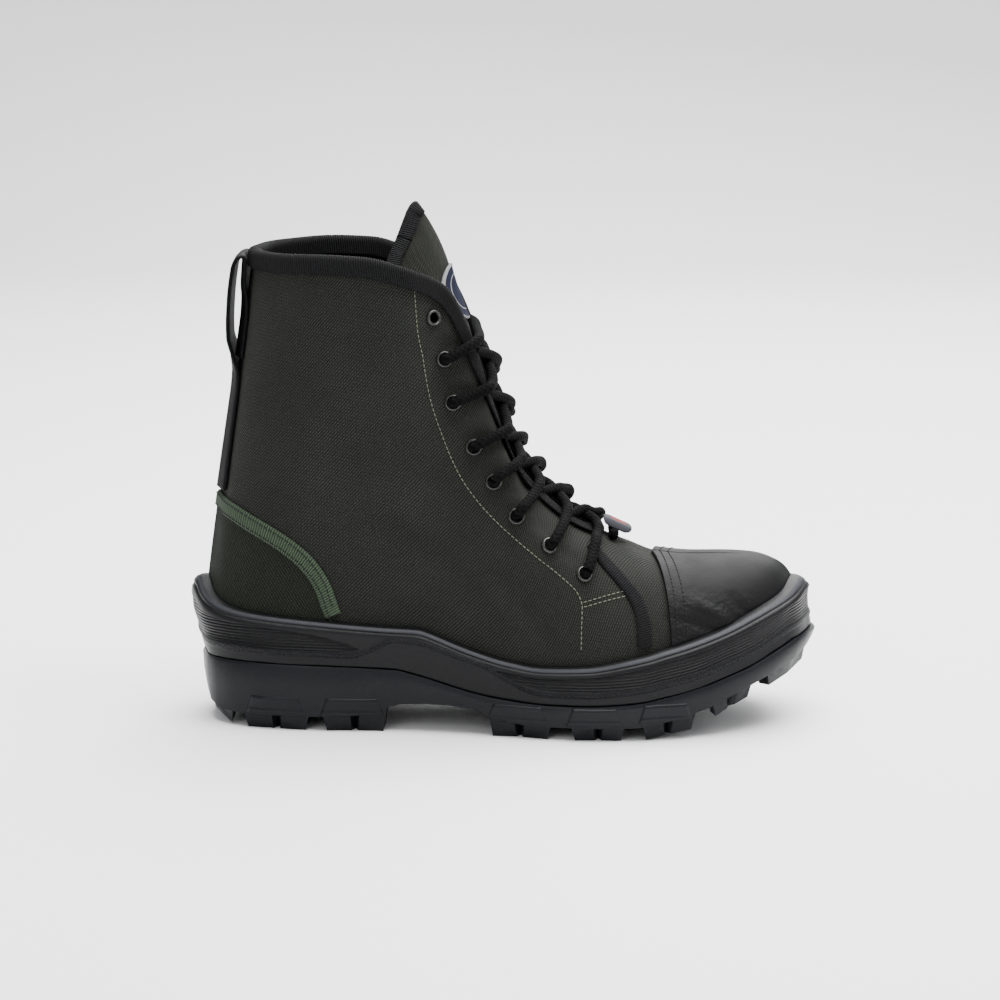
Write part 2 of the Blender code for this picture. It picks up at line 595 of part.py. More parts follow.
def tongue_row(station, wing, crown, depth):
    """Nine points across the tongue at a rib, depth under the outer face."""
    edge, out = throat_frame(station)
    row = []
    for side in (-1, 1):
        ring = station if side < 0 else 2.0 * STATIONS - station
        half = []
        for reach in (wing, 0.5 * wing):
            spot = edge - out * reach
            spot_ring, share = place(spot[0], spot[2], side)
            half.append(shell(spot_ring, share, -TONGUE_INSET - depth))
        lip = shell(ring, 0.999, -TONGUE_INSET - depth)
        half.append(lip)
        half.append(np.array([lip[0], 0.5 * lip[1], lip[2]]) + out * 0.72 * crown)
        row.append(half)
    middle = 0.5 * (row[0][2] + row[1][2])
    middle[1] = 0.0
    return row[0] + [middle + out * crown] + row[1][::-1]


def tongue_cap(row, base, depth):
    """Nine points across one row of the free end over the collar."""
    back, high, half, hang, droop = row
    points = []
    for u in (-1.0, -0.78, -0.52, -0.26, 0.0, 0.26, 0.52, 0.78, 1.0):
        points.append(base + TONGUE_LENGTH * np.array([
            -back - hang * abs(u) ** 1.7, half * u, high - droop * abs(u) ** 1.8])
            + np.array([-depth * math.cos(0.9 * u), -depth * math.sin(0.9 * u) * 0.9, -0.25 * depth]))
    return points


corner = shell_point(6.3, 1.0)
base = np.array([corner[0] + TONGUE_CROWN - TONGUE_INSET + 1.0 * MM, 0.0, corner[2]])
faces_of_tongue = []
for depth in (0.0, TONGUE_THICK):
    rows = [tongue_row(s, w * TONGUE_WING, TONGUE_CROWN * min(1.0, w), depth) for s, w in TONGUE_ROWS]
    rows += [tongue_cap(row, base, depth) for row in TONGUE_TOP]
    faces_of_tongue.append(np.array(rows))
points, faces = thick_grid(*faces_of_tongue)
tongue = new_object("tongue", CLOTH, 0.85, 0.0, points, faces)

def band_shares(low, top):
    """Rows of the upper's mesh kept between two share lines, rib by rib."""
    order = np.arange(len(SHARES))
    held = np.maximum(SHARES[None, :], low[:, None] + 0.004 * order)
    held = np.minimum(held, top[:, None] - 0.004 * order[::-1])
    first = int(np.max(np.sum(SHARES[None, :] <= low.min(), axis=1))) - 1
    last = int(np.sum(SHARES < top.max())) + 1
    held = held[:, max(first, 0):last]
    held[:, 0] = low
    held[:, -1] = top
    return held


# Toe cap: the ribs ahead of the vamp seam, over the rand
CAP_FROM = 13.0
cap_ribs = SIDE_RIBS[SIDE_RIBS >= CAP_FROM]
cap_ring = np.concatenate([cap_ribs, 2.0 * STATIONS - cap_ribs[-2::-1]])
cap_low = share_at_height(cap_ring, level("rand", shell_point(cap_ring, np.zeros(len(cap_ring)))[:, 0]) + 0.9 * MM)
cap_share = band_shares(cap_low, np.ones(len(cap_ring)))
outer = shell(cap_ring[:, None], cap_share, np.full(cap_share.shape, CLEAR + CAP_THICK))
inner = shell(cap_ring[:, None], cap_share, np.full(cap_share.shape, CLEAR))
points, faces = thick_grid(outer, inner, open_top=np.zeros(len(cap_ring), bool))
toe_cap = new_object("toe_cap", BLACK, 0.35, 0.0, points, faces)

# Green tape along the top of the heel counter: its middle line in side view,
# at as a share of LAST_LENGTH from the heel back, high of COLLAR_HEIGHT
TAPE_LINE_COLUMNS = ("at", "high")
TAPE_LINE = (
    (0.028, 0.468), (0.052, 0.460), (0.085, 0.441), (0.120, 0.418), (0.152, 0.393), (0.178, 0.366),
    (0.198, 0.335), (0.212, 0.302), (0.221, 0.268), (0.227, 0.248),
)


def side_track(rows, side, count):
    """Even track of (ring, share) through side-view rows (at, high)."""
    spots = []
    for x, z in smooth_path(rows, count):
        spots.append(place(HEEL_BACK + x * LAST_LENGTH, z * COLLAR_HEIGHT, side))
    return spots


outer_half = side_track(TAPE_LINE, -1, 17)[1:]
inner_half = [(-ring, share) for ring, share in outer_half]
for index, (ring, share) in enumerate(inner_half):
    spot = shell_point(outer_half[index][0], outer_half[index][1])
    inner_half[index] = place(spot[0], spot[2], 1)
    inner_half[index] = (inner_half[index][0] - 2.0 * STATIONS, inner_half[index][1])
seam_share = float(share_at_height(0.0, TAPE_LINE[0][1] * COLLAR_HEIGHT)[0])
counter_track = inner_half[::-1] + [(0.0, seam_share)] + outer_half
points, faces = shell_strip(counter_track, TAPE_WIDTH, 2.0 * CLEAR, 2.0 * CLEAR + TAPE_THICK)
counter_tape = new_object("counter_tape", TAPE_GREEN, 0.8, 0.0, points, faces)

# Heel counter: the canvas panel under the tape, down to the rand
track_ring = np.array([r for r, s in counter_track])
track_share = np.array([s for r, s in counter_track])
stop = min(-track_ring[0], track_ring[-1]) - 0.22
side = np.append(SIDE_RIBS[SIDE_RIBS < stop - 0.1], stop)
counter_ring = np.concatenate([-side[:0:-1], side])
fine = np.linspace(track_ring[0], track_ring[-1], 161)
line = shell_point(fine, np.interp(fine, track_ring, track_share))
need = 0.5 * TAPE_WIDTH + 3.0 * CLEAR
rows = np.linspace(0.0, 1.0, 161)
counter_top = []
for ring in counter_ring:
    crossing = float(np.interp(ring, track_ring, track_share))
    far = np.linalg.norm(shell_point(ring, rows)[:, None] - line[None], axis=2).min(axis=1)
    free = rows[(rows < crossing) & (far > need)]
    counter_top.append(free.max() if len(free) else 0.0)
counter_top = np.array(counter_top)
counter_low = share_at_height(counter_ring, level("rand", shell_point(counter_ring, np.zeros(len(counter_ring)))[:, 0])
                              + 0.9 * MM)
keep = counter_top > counter_low + 0.06
counter_ring, counter_top, counter_low = counter_ring[keep], counter_top[keep], counter_low[keep]
grid_share = band_shares(counter_low, counter_top)
outer = shell(counter_ring[:, None], grid_share, np.full(grid_share.shape, CLEAR + COUNTER_THICK))
inner = shell(counter_ring[:, None], grid_share, np.full(grid_share.shape, CLEAR))
points, faces = thick_grid(outer, inner)
heel_counter = new_object("heel_counter", (0.018, 0.021, 0.016), 0.85, 0.0, points, faces)

# Binding: a channel of ribbed tape over the edges of collar and throat
BINDING_END = 11.25
bind_ribs = SIDE_RIBS[SIDE_RIBS <= BINDING_END + 1e-9]
bind_ring = np.concatenate([-bind_ribs[:0:-1], bind_ribs])
edge = shell_point(bind_ring, 1.0)
chords = np.diff(edge, axis=0)
chords /= np.linalg.norm(chords, axis=1)[:, None]
ahead = np.vstack([chords[:1], chords[1:] + chords[:-1], chords[-1:]])
ahead /= np.linalg.norm(ahead, axis=1)[:, None]
normals = shell_normal(bind_ring, np.full(len(bind_ring), 1.0))
reach = (shell_point(bind_ring, 0.97) - edge) / 0.03
inward = reach / np.linalg.norm(reach, axis=1)[:, None]
square = np.linalg.norm(np.cross(reach, ahead), axis=1)
tips = 1.0 - BINDING_WIDTH / np.convolve(np.pad(square, 1, mode="edge"), np.ones(3) / 3.0, mode="valid")
halves = 0.5 * (1.0 + tips)
sections = []
for index, ring in enumerate(bind_ring):
    low, high = BINDING_GAP, BINDING_GAP + BINDING_THICK
    away = np.cross(ahead[index], normals[index])
    away *= -np.sign(np.dot(away, inward[index]))
    over = edge[index] + away * (BINDING_THICK + 4.0 * CLEAR)
    brow = edge[index] + away * 3.0 * CLEAR
    inner_brow = brow - normals[index] * (WALL + low)
    sections.append([
        shell(ring, tips[index], low), shell(ring, tips[index], high), edge[index] + normals[index] * high,
        over + normals[index] * (-0.1 * WALL), over + normals[index] * (-0.9 * WALL),
        edge[index] - normals[index] * (WALL + high), shell(ring, tips[index], -WALL - high),
        shell(ring, tips[index], -WALL - low), inner_brow,
        brow + normals[index] * low, shell(ring, halves[index], low),
    ])
points, faces = tube_of_sections(np.array(sections))
edge_binding = new_object("edge_binding", BLACK, 0.8, 0.0, points, faces)

# Quarter tapes: the same ribbed tape from the throat down to the rand
QUARTER_LINE = (
    (0.6585, 0.389), (0.686, 0.353), (0.711, 0.322), (0.729, 0.296), (0.741, 0.266), (0.746, 0.232), (0.747, 0.197),
)
quarter_tapes = []
for name, side in (("quarter_tape_outer", -1), ("quarter_tape_inner", 1)):
    track = side_track(QUARTER_LINE, side, 9)
    points, faces = shell_strip(track, BINDING_WIDTH, 1.6 * CLEAR, 1.6 * CLEAR + BINDING_THICK)
    quarter_tapes.append(new_object(name, BLACK, 0.8, 0.0, points, faces))

# Back strap: one strip up the back seam, out into the pull loop, over the
# collar and down again. high is a share of COLLAR_HEIGHT, off a share of the
# loop's reach from the shaft.
STRAP_COLUMNS = ("high", "off")
STRAP_LINE = (
    (0.496, 0.00), (0.560, 0.00), (0.630, 0.00), (0.700, 0.00), (0.742, 0.06), (0.780, 0.36),
    (0.830, 0.78), (0.880, 0.98), (0.930, 1.06), (0.968, 1.02), (0.990, 0.78), (0.996, 0.46),
    (0.985, 0.36), (0.965, 0.33), (0.935, 0.27), (0.900, 0.08), (0.860, 0.00), (0.815, 0.00), (0.780, 0.00),
)
LOOP_REACH = LOOP_SLIT + STRAP_THICK + 1.2 * MM
strap_base = CLEAR + 0.5 * STRAP_THICK
strap_rows = smooth_path([(high * COLLAR_HEIGHT, off * LOOP_REACH) for high, off in STRAP_LINE], 26)
spine = np.column_stack([strap_rows[:, 1], strap_rows[:, 0]])
lean = np.gradient(spine, axis=0)
lean /= np.linalg.norm(lean, axis=1)[:, None]
sections = []
for (z, off), (d_off, d_z) in zip(strap_rows, lean):
    share = float(share_at_height(0.0, min(z, 0.9995 * COLLAR_HEIGHT))[0])
    rings = np.linspace(-2.2, 2.2, 89)
    widths = shell_point(rings, share)[:, 1]
    centres, turns = [], []
    for u in (-1.0, -0.55, 0.0, 0.55, 1.0):
        ring = float(np.interp(-u * STRAP_HALF, -widths, rings))
        seat = shell(ring, share, 0.0)
        normal = shell_normal(ring, share)
        level_out = normal * np.array([1.0, 1.0, 0.0])
        level_out /= np.linalg.norm(level_out)
        centre = seat + level_out * (strap_base + off)
        centre[2] = z
        turn = level_out * d_z - np.array([0.0, 0.0, d_off])
        centres.append(centre)
        turns.append(turn / np.linalg.norm(turn))
    centres = np.array(centres)
    stiff = min(1.0, max(off, 0.0) / (0.7 * LOOP_REACH))
    centres[:, 0] += 0.9 * stiff * (centres[2, 0] - centres[:, 0])
    top = list(centres + 0.5 * STRAP_THICK * np.array(turns))
    bottom = list(centres - 0.5 * STRAP_THICK * np.array(turns))
    sections.append(top + bottom[::-1])
points, faces = tube_of_sections(np.array(sections))
back_strap = new_object("back_strap", BLACK, 0.5, 0.0, points, faces)

# Eyelets: flanged rings, eight a side, at as a share of LAST_LENGTH from the
# heel back and high of COLLAR_HEIGHT, from the collar down
EYELETS = (
    (0.3955, 0.877), (0.4135, 0.790), (0.428, 0.700), (0.463, 0.608),
    (0.496, 0.537), (0.534, 0.467), (0.5875, 0.404), (0.6465, 0.344),
)
turns = np.linspace(0.0, 2.0 * math.pi, 9)[:-1]
ring_profile = ((EYELET_RADIUS, 0.0), (0.4 * EYELET_RADIUS + 0.6 * EYELET_HOLE, EYELET_RISE), (EYELET_HOLE, 0.0))
eyelet_seats = {}
eyelet_rings = []
for number, (at, high) in enumerate(EYELETS, 1):
    for name, side in (("outer", -1), ("inner", 1)):
        ring, share = place(HEEL_BACK + at * LAST_LENGTH, high * COLLAR_HEIGHT, side)
        normal = shell_normal(ring, share)
        seat = shell_point(ring, share)
        a = np.cross(normal, [0.0, 0.0, 1.0])
        a /= np.linalg.norm(a)
        b = np.cross(normal, a)
        rim = [slide(ring, share, (a * math.cos(t) + b * math.sin(t)) * EYELET_RADIUS) for t in turns]
        lift = max(0.0, max(float(np.dot(shell_point(*spot) - seat, normal)) for spot in rim))
        centre = seat + normal * (lift + 1.4 * CLEAR)
        eyelet_seats[name, number] = (centre, normal, ring, share)
        sections = [[centre + (a * math.cos(t) + b * math.sin(t)) * r + normal * h for r, h in ring_profile]
                    for t in turns]
        points, faces = tube_of_sections(np.array(sections), wrap=True)
        eyelet_rings.append(new_object("eyelet_%s_%d" % (name, number), (0.008, 0.008, 0.009), 0.3, 0.9,
                                       points, faces))

# Laces: over each pair of rows two strands cross; the top one is a single
# strand, the last row carries a bar with the tag.
under = [upper, tongue, edge_binding] + eyelet_rings + quarter_tapes
mesh_points, mesh_faces = [], []
for piece in under:
    start = len(mesh_points)
    mesh_points += [v.co.copy() for v in piece.data.vertices]
    mesh_faces += [[start + v for v in face.vertices] for face in piece.data.polygons]
boot_tree = BVHTree.FromPolygons(mesh_points, mesh_faces)
LACE_LIFT = TONGUE_CROWN - TONGUE_INSET + LACE_RADIUS + 5.0 * CLEAR
LACE_OFF = BINDING_GAP + BINDING_THICK + LACE_RADIUS + 4.0 * CLEAR

LACE_LOOK = 30.0 * MM         # forward and up, the way out of the throat


def laid_over(path, need):
    """Path drawn tight over the boot, every point at least need above it."""
    path = np.array(path)
    for _ in range(24):
        path[1:-1] += 0.12 * (path[2:] + path[:-2] - 2.0 * path[1:-1])
        for point in path[1:]:
            away = point - np.array(boot_tree.find_nearest(point)[0])
            outwards = np.array([LACE_LOOK, point[1], LACE_LOOK])
            gap = math.copysign(np.linalg.norm(away), float(np.dot(away, outwards)))
            if gap < need:
                point += away / gap * (need - gap)
    return path


def throat_station(seat):
    """Rib whose throat edge lies straight across from an eyelet seat."""
    stations = np.linspace(6.4, 12.0, 113)
    edges = shell_point(stations, 1.0)
    run = np.gradient(edges, axis=0)
    off = np.abs(np.sum((edges - seat)[:, [0, 2]] * run[:, [0, 2]], axis=1)) / np.hypot(run[:, 0], run[:, 2])
    return float(stations[int(np.argmin(off))])


def over_tongue(station, y, lift):
    """Point over the tongue at a rib and width y, lift out of the edge."""
    edge, out = throat_frame(station)
    return np.array([edge[0], y, edge[2]]) + out * lift


def strand(number, side):
    """Path of one strand from its eyelet up to the far edge of the throat."""
    name, far = ("outer", "inner") if side < 0 else ("inner", "outer")
    centre, normal = eyelet_seats[name, number][:2]
    low = throat_station(centre)
    step = throat_station(eyelet_seats[far, number - 1][0]) - low
    if number == 2:
        step *= 0.45
    start = centre + normal * (EYELET_RISE + LACE_RADIUS + 3.0 * CLEAR)
    lip = low + 0.14 * step
    ring = lip if side < 0 else 2.0 * STATIONS - lip
    edge, out = throat_frame(lip)
    corner = shell_normal(ring, 1.0) * 0.75 + out * 0.66
    brow = shell_point(ring, 1.0) + corner / np.linalg.norm(corner) * (LACE_OFF + LACE_RADIUS)
    inside = over_tongue(low + 0.32 * step, side * 0.5 * abs(edge[1]), LACE_LIFT + LACE_RADIUS)
    middle = over_tongue(low + 0.5 * step, 0.0, LACE_LIFT + 0.5 * MM)
    away = shell_point(low + 0.74 * step, 1.0)
    end = over_tongue(low + 0.74 * step, -side * 0.5 * abs(away[1]), LACE_LIFT)
    path = smooth_path([start, 0.5 * (start + brow) + normal * LACE_RADIUS, brow, inside, middle, end], 31)
    path = laid_over(path, LACE_RADIUS + 6.0 * CLEAR)
    return path[[0, 2, 4, 6, 9, 12, 16, 22, 30]]


def round_tube(path, radius, around=6):
    """Sections of a round cord along a path."""
    path = np.asarray(path)
    ahead = np.gradient(path, axis=0)
    ahead /= np.linalg.norm(ahead, axis=1)[:, None]
    sections = []
    for centre, tangent in zip(path, ahead):
        a = np.cross(tangent, [0.35, 0.0, 0.94])
        a /= np.linalg.norm(a)
        b = np.cross(tangent, a)
        sections.append([centre + (a * math.cos(t) + b * math.sin(t)) * radius
                         for t in np.linspace(0.0, 2.0 * math.pi, around + 1)[:-1]])
    return tube_of_sections(np.array(sections))


for number in range(2, len(EYELETS) + 1):
    points, faces = round_tube(strand(number, -1), LACE_RADIUS)
    lace = new_object("lace_crossing_%d" % number, BLACK, 0.75, 0.0, points, faces)
    if number > 2:
        points, faces = round_tube(strand(number, 1), LACE_RADIUS)
        other = new_object("strand_%d" % number, BLACK, 0.75, 0.0, points, faces)
        other.hide_render = True
        other.display_type = "WIRE"
        joined = lace.modifiers.new("joined", "BOOLEAN")
        joined.operation = "UNION"
        joined.object = other
        joined.solver = "EXACT"

# Bar of the lace at the foot of the throat, and the folded tag on it
TAG_RIB = 11.86
edge, out = throat_frame(TAG_RIB)
bar_half = 0.62 * TAG_LENGTH
bar_path = [over_tongue(TAG_RIB, y, LACE_RADIUS + 3.0 * CLEAR - 0.10 * abs(y)) for y in
            np.linspace(-bar_half, bar_half, 5)]
points, faces = round_tube(bar_path, LACE_RADIUS)
lace_bar = new_object("lace_bar", BLACK, 0.75, 0.0, points, faces)
tag_centre = over_tongue(TAG_RIB, 0.0, 2.0 * LACE_RADIUS + 5.0 * CLEAR + 0.5 * TAG_THICK)
along = np.array([-out[2], 0.0, out[0]])
sections = []
for u, squeeze in ((-1.0, 0.72), (-0.8, 1.0), (0.8, 1.0), (1.0, 0.72)):
    centre = tag_centre + along * (0.5 * TAG_LENGTH * u)
    w, h = 0.5 * TAG_WIDTH * squeeze, 0.5 * TAG_THICK * squeeze
    side_way = np.array([0.0, 1.0, 0.0])
    sections.append([centre + side_way * w * a + out * h * b for a, b in
                     ((-1, -0.5), (-0.8, -1), (0.8, -1), (1, -0.5), (1, 0.5), (0.8, 1), (-0.8, 1), (-1, 0.5))])
points, faces = tube_of_sections(np.array(sections))
lace_tag = new_object("lace_tag", (0.15, 0.15, 0.16), 0.5, 0.0, points, faces)

# Round patch on the front of the tongue, over the top eyelets
tongue_face = faces_of_tongue[0]


def tongue_spot(row, column, lift):
    """Point over the tongue's outer grid at fractional row and column."""
    def read(r, c):
        r, c = min(max(r, 0.0), len(tongue_face) - 1.001), min(max(c, 0.0), 7.999)
        i, j, u, v = int(r), int(c), r - int(r), c - int(c)
        low = tongue_face[i, j] * (1 - v) + tongue_face[i, j + 1] * v
        return low * (1 - u) + (tongue_face[i + 1, j] * (1 - v) + tongue_face[i + 1, j + 1] * v) * u
    normal = np.cross(read(row, column + 0.3) - read(row, column - 0.3), read(row + 0.3, column) - read(row - 0.3, column))
    return read(row, column) + normal / np.linalg.norm(normal) * lift


PATCH_ROW = 8.9               # row of the tongue under the middle of the patch
row_step = np.linalg.norm(tongue_spot(PATCH_ROW + 0.5, 4.0, 0.0) - tongue_spot(PATCH_ROW - 0.5, 4.0, 0.0))
column_step = np.linalg.norm(tongue_spot(PATCH_ROW, 4.5, 0.0) - tongue_spot(PATCH_ROW, 3.5, 0.0))
sheets = []
for lift in (3.0 * CLEAR + PATCH_THICK, 3.0 * CLEAR):
    rows = []
    for t in np.linspace(0.0, 2.0 * math.pi, 17)[:-1]:
        rows.append([tongue_spot(PATCH_ROW + math.sin(t) * r * PATCH_RADIUS / row_step,
                                 4.0 + math.cos(t) * r * PATCH_RADIUS / column_step, lift)
                     for r in (1.0, 0.55, 0.0)])
    sheets.append(np.array(rows))
points, faces = thick_grid(*sheets, wrap=True, open_top=np.zeros(16, bool))
tongue_patch = new_object("tongue_patch", (0.020, 0.032, 0.100), 0.7, 0.0, points, faces)


def centre_on_floor():
    """Move every piece so that the origin is under the middle of the boot."""
    graph = bpy.context.evaluated_depsgraph_get()
    shown = [item for item in bpy.data.objects if not item.hide_render]
    corners = []
    for item in shown:
        mesh = item.evaluated_get(graph).to_mesh()
        flat = np.empty(3 * len(mesh.vertices))
        mesh.vertices.foreach_get("co", flat)
        corners += [flat.reshape(-1, 3).min(axis=0), flat.reshape(-1, 3).max(axis=0)]
    middle = 0.5 * (np.min(corners, axis=0) + np.max(corners, axis=0))
    for item in bpy.data.objects:
        item.location = Vector((-middle[0], -middle[1], 0.0))


centre_on_floor()
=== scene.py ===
"""Dresses the laced canvas jungle boot: canvas, leather, tapes, laces and moulded sole.

Every soft piece is a surface over the boot's last, worked out as whole arrays
from the same named sizes and ribs as the solids, in metres.
"""
import logging
import math
from dataclasses import dataclass, field
from enum import Enum
from typing import Callable, Sequence

import bmesh
import bpy
import numpy as np
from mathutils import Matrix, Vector
from mathutils.bvhtree import BVHTree


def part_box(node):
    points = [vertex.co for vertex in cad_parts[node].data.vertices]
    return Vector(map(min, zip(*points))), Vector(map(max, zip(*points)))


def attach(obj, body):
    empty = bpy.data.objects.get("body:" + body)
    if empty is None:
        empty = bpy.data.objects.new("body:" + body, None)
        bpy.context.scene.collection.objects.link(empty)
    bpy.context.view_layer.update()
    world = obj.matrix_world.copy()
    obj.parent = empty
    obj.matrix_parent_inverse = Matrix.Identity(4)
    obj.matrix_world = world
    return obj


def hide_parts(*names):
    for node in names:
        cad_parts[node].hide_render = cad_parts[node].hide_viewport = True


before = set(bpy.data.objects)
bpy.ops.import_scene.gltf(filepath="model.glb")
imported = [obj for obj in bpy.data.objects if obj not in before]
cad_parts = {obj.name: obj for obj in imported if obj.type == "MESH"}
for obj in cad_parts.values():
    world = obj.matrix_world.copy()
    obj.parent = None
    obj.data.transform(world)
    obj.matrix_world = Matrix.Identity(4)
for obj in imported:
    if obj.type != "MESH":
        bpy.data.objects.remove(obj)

LOG = logging.getLogger("boot")
MM = 0.001
Array = np.ndarray


class Side(Enum):
    """Side of the foot, with the sign of its Y."""

    OUTER = -1
    INNER = 1


RIB_COLUMNS = ("foot", "lat", "med", "top", "high", "half", "bow", "rise",
               "spread", "drop", "sweep", "trail", "wide", "skirt", "tread")
RIBS = (
    (0.000, 0.00, 0.00, 0.089, 1.000, 0.00, 0.0, 0.33, 0.30, 0.33, 0.25, 0.27, 1.00, 0.10, 0.24),
    (0.028, 0.37, 0.35, 0.106, 1.000, 0.41, 0.0, 0.33, 0.55, 0.33, 0.27, 0.30, 1.00, 0.50, 0.68),
    (0.084, 0.57, 0.54, 0.141, 1.000, 0.73, 0.1, 0.33, 0.75, 0.33, 0.30, 0.33, 1.00, 0.68, 0.90),
    (0.168, 0.67, 0.63, 0.204, 1.002, 0.94, 0.0, 0.33, 0.80, 0.33, 0.33, 0.33, 1.00, 0.80, 1.00),
    (0.266, 0.70, 0.63, 0.281, 0.998, 1.00, 0.0, 0.33, 0.80, 0.33, 0.33, 0.33, 1.00, 0.80, 1.00),
    (0.354, 0.72, 0.60, 0.350, 0.974, 0.88, 0.0, 0.33, 0.60, 0.33, 0.33, 0.33, 1.00, 0.70, 0.90),
    (0.435, 0.79, 0.61, 0.412, 0.930, 0.55, -0.02, 0.33, 0.55, 0.33, 0.30, 0.40, 0.95, 0.65, 0.90),
    (0.522, 0.88, 0.68, 0.456, 0.817, 0.48, -0.05, 0.34, 0.62, 0.30, 0.25, 0.42, 0.95, 0.65, 0.95),
    (0.596, 0.97, 0.80, 0.486, 0.695, 0.45, -0.06, 0.35, 0.68, 0.31, 0.20, 0.45, 0.95, 0.70, 1.00),
    (0.659, 1.01, 0.89, 0.523, 0.571, 0.43, -0.06, 0.38, 0.72, 0.33, 0.14, 0.45, 0.95, 0.75, 1.05),
    (0.708, 1.01, 0.93, 0.582, 0.480, 0.37, -0.06, 0.42, 0.74, 0.32, 0.08, 0.50, 0.95, 0.75, 1.05),
    (0.743, 0.99, 0.93, 0.635, 0.425, 0.24, -0.05, 0.50, 0.74, 0.24, 0.03, 0.55, 0.98, 0.80, 1.05),
    (0.768, 0.96, 0.92, 0.702, 0.383, 0.00, -0.05, 0.58, 0.72, 0.09, 0.0, 0.60, 1.00, 0.85, 1.05),
    (0.792, 0.93, 0.90, 0.761, 0.350, 0.00, -0.05, 0.64, 0.72, 0.0, 0.0, 0.60, 1.03, 0.90, 1.10),
    (0.862, 0.80, 0.79, 0.820, 0.343, 0.00, -0.06, 0.68, 0.76, 0.0, -0.06, 0.72, 1.12, 1.05, 1.30),
    (0.932, 0.58, 0.61, 0.866, 0.343, 0.00, -0.08, 0.72, 0.82, -0.02, -0.10, 0.82, 1.25, 1.25, 1.55),
    (0.980, 0.29, 0.36, 0.896, 0.342, 0.00, -0.10, 0.76, 0.86, -0.03, -0.10, 0.86, 1.32, 1.45, 1.75),
    (1.000, -0.03, 0.03, 0.910, 0.341, 0.00, -0.10, 0.78, 0.86, -0.03, -0.10, 0.86, 1.35, 1.50, 1.80),
)
LEVEL_COLUMNS = ("at", "bed", "rand", "ledge", "base", "lug")
LEVELS = (
    (-0.010, 1.00, 1.005, 0.97, 0.56, 0.50), (0.002, 1.00, 1.000, 0.98, 0.42, 0.36),
    (0.016, 1.00, 0.930, 0.99, 0.28, 0.20), (0.040, 1.00, 0.870, 1.00, 0.21, 0.06),
    (0.070, 1.00, 0.840, 1.00, 0.21, 0.00), (0.170, 0.99, 0.800, 0.99, 0.21, 0.00),
    (0.270, 0.96, 0.765, 0.97, 0.24, 0.00), (0.325, 0.93, 0.750, 0.95, 0.40, 0.00),
    (0.370, 0.88, 0.742, 0.86, 0.43, 0.00), (0.400, 0.84, 0.705, 0.79, 0.43, 0.00),
    (0.440, 0.79, 0.640, 0.69, 0.42, 0.00), (0.480, 0.74, 0.585, 0.61, 0.34, 0.00),
    (0.520, 0.70, 0.542, 0.56, 0.21, 0.00), (0.580, 0.64, 0.510, 0.52, 0.19, 0.00),
    (0.650, 0.60, 0.520, 0.52, 0.19, 0.00), (0.740, 0.60, 0.590, 0.57, 0.20, 0.01),
    (0.780, 0.61, 0.635, 0.64, 0.26, 0.06), (0.830, 0.64, 0.695, 0.73, 0.36, 0.15),
    (0.880, 0.71, 0.770, 0.88, 0.54, 0.37), (0.930, 0.80, 0.865, 1.03, 0.74, 0.58),
    (0.975, 0.89, 0.945, 1.22, 0.90, 0.73), (1.000, 0.94, 1.005, 1.31, 1.00, 0.82),
    (1.045, 0.97, 1.030, 1.36, 1.20, 1.08),
)


def smooth_table(rows: Sequence, columns: Sequence[str], key: str | None, wanted: Array) -> dict[str, Array]:
    """Read a table between its rows with monotone cubic curves.

    Args:
        rows: The table, one row of numbers for each station.
        columns: The names of its columns.
        key: The column read against, or None for the row number.
        wanted: The key values asked for.

    Returns:
        The value of every column at each wanted key.
    """
    data = np.array(rows, dtype=float)
    at = data[:, columns.index(key)] if key else np.arange(len(rows), dtype=float)
    slope = np.diff(data, axis=0) / np.diff(at)[:, None]
    same = slope[1:] * slope[:-1] > 0.0
    total = np.where(np.abs(slope[1:] + slope[:-1]) < 1e-12, 1.0, slope[1:] + slope[:-1])
    tangent = np.vstack([slope[:1], np.where(same, 2.0 * slope[1:] * slope[:-1] / total, 0.0), slope[-1:]])
    wanted = np.clip(np.asarray(wanted, dtype=float), at[0], at[-1])
    cell = np.clip(np.searchsorted(at, wanted, side="right") - 1, 0, len(at) - 2)
    width = (at[cell + 1] - at[cell])[:, None]
    t = (wanted - at[cell])[:, None] / width
    value = ((2 * t**3 - 3 * t**2 + 1) * data[cell] + (t**3 - 2 * t**2 + t) * width * tangent[cell]
             + (-2 * t**3 + 3 * t**2) * data[cell + 1] + (t**3 - t**2) * width * tangent[cell + 1])
    return {name: value[:, i] for i, name in enumerate(columns)}


def path_length(points: Array) -> Array:
    """Length along a path, up to each of its points."""
    return np.concatenate([[0.0], np.cumsum(np.linalg.norm(np.diff(points, axis=0), axis=1))])


def pattern_of(run: Array, down: Array) -> Array:
    """Pattern coordinates from one value for each row and one for each column."""
    return np.stack(np.broadcast_arrays(run[:, None], down[None]), -1)


def smooth_path(points: Sequence, count: int) -> Array:
    """Even resampling of a smooth curve through rows of numbers.

    Args:
        points: Rows of numbers along the path.
        count: How many rows are wanted.

    Returns:
        The evenly spaced rows.
    """
    points = np.asarray(points, dtype=float)
    reach = path_length(points)
    names = ("at",) + tuple(str(i) for i in range(points.shape[1]))
    read = smooth_table(np.column_stack([reach, points]), names, "at", np.linspace(0.0, reach[-1], count))
    return np.column_stack([read[name] for name in names[1:]])


def unit(vectors: Array) -> Array:
    """Vectors scaled to length one."""
    return vectors / np.maximum(np.linalg.norm(vectors, axis=-1, keepdims=True), 1e-12)


def bump_at(value: Array, centre: float, width: float) -> Array:
    """Bell curve of value round centre: exp of minus the squared distance in widths."""
    return np.exp(-((value - centre) / width) ** 2)


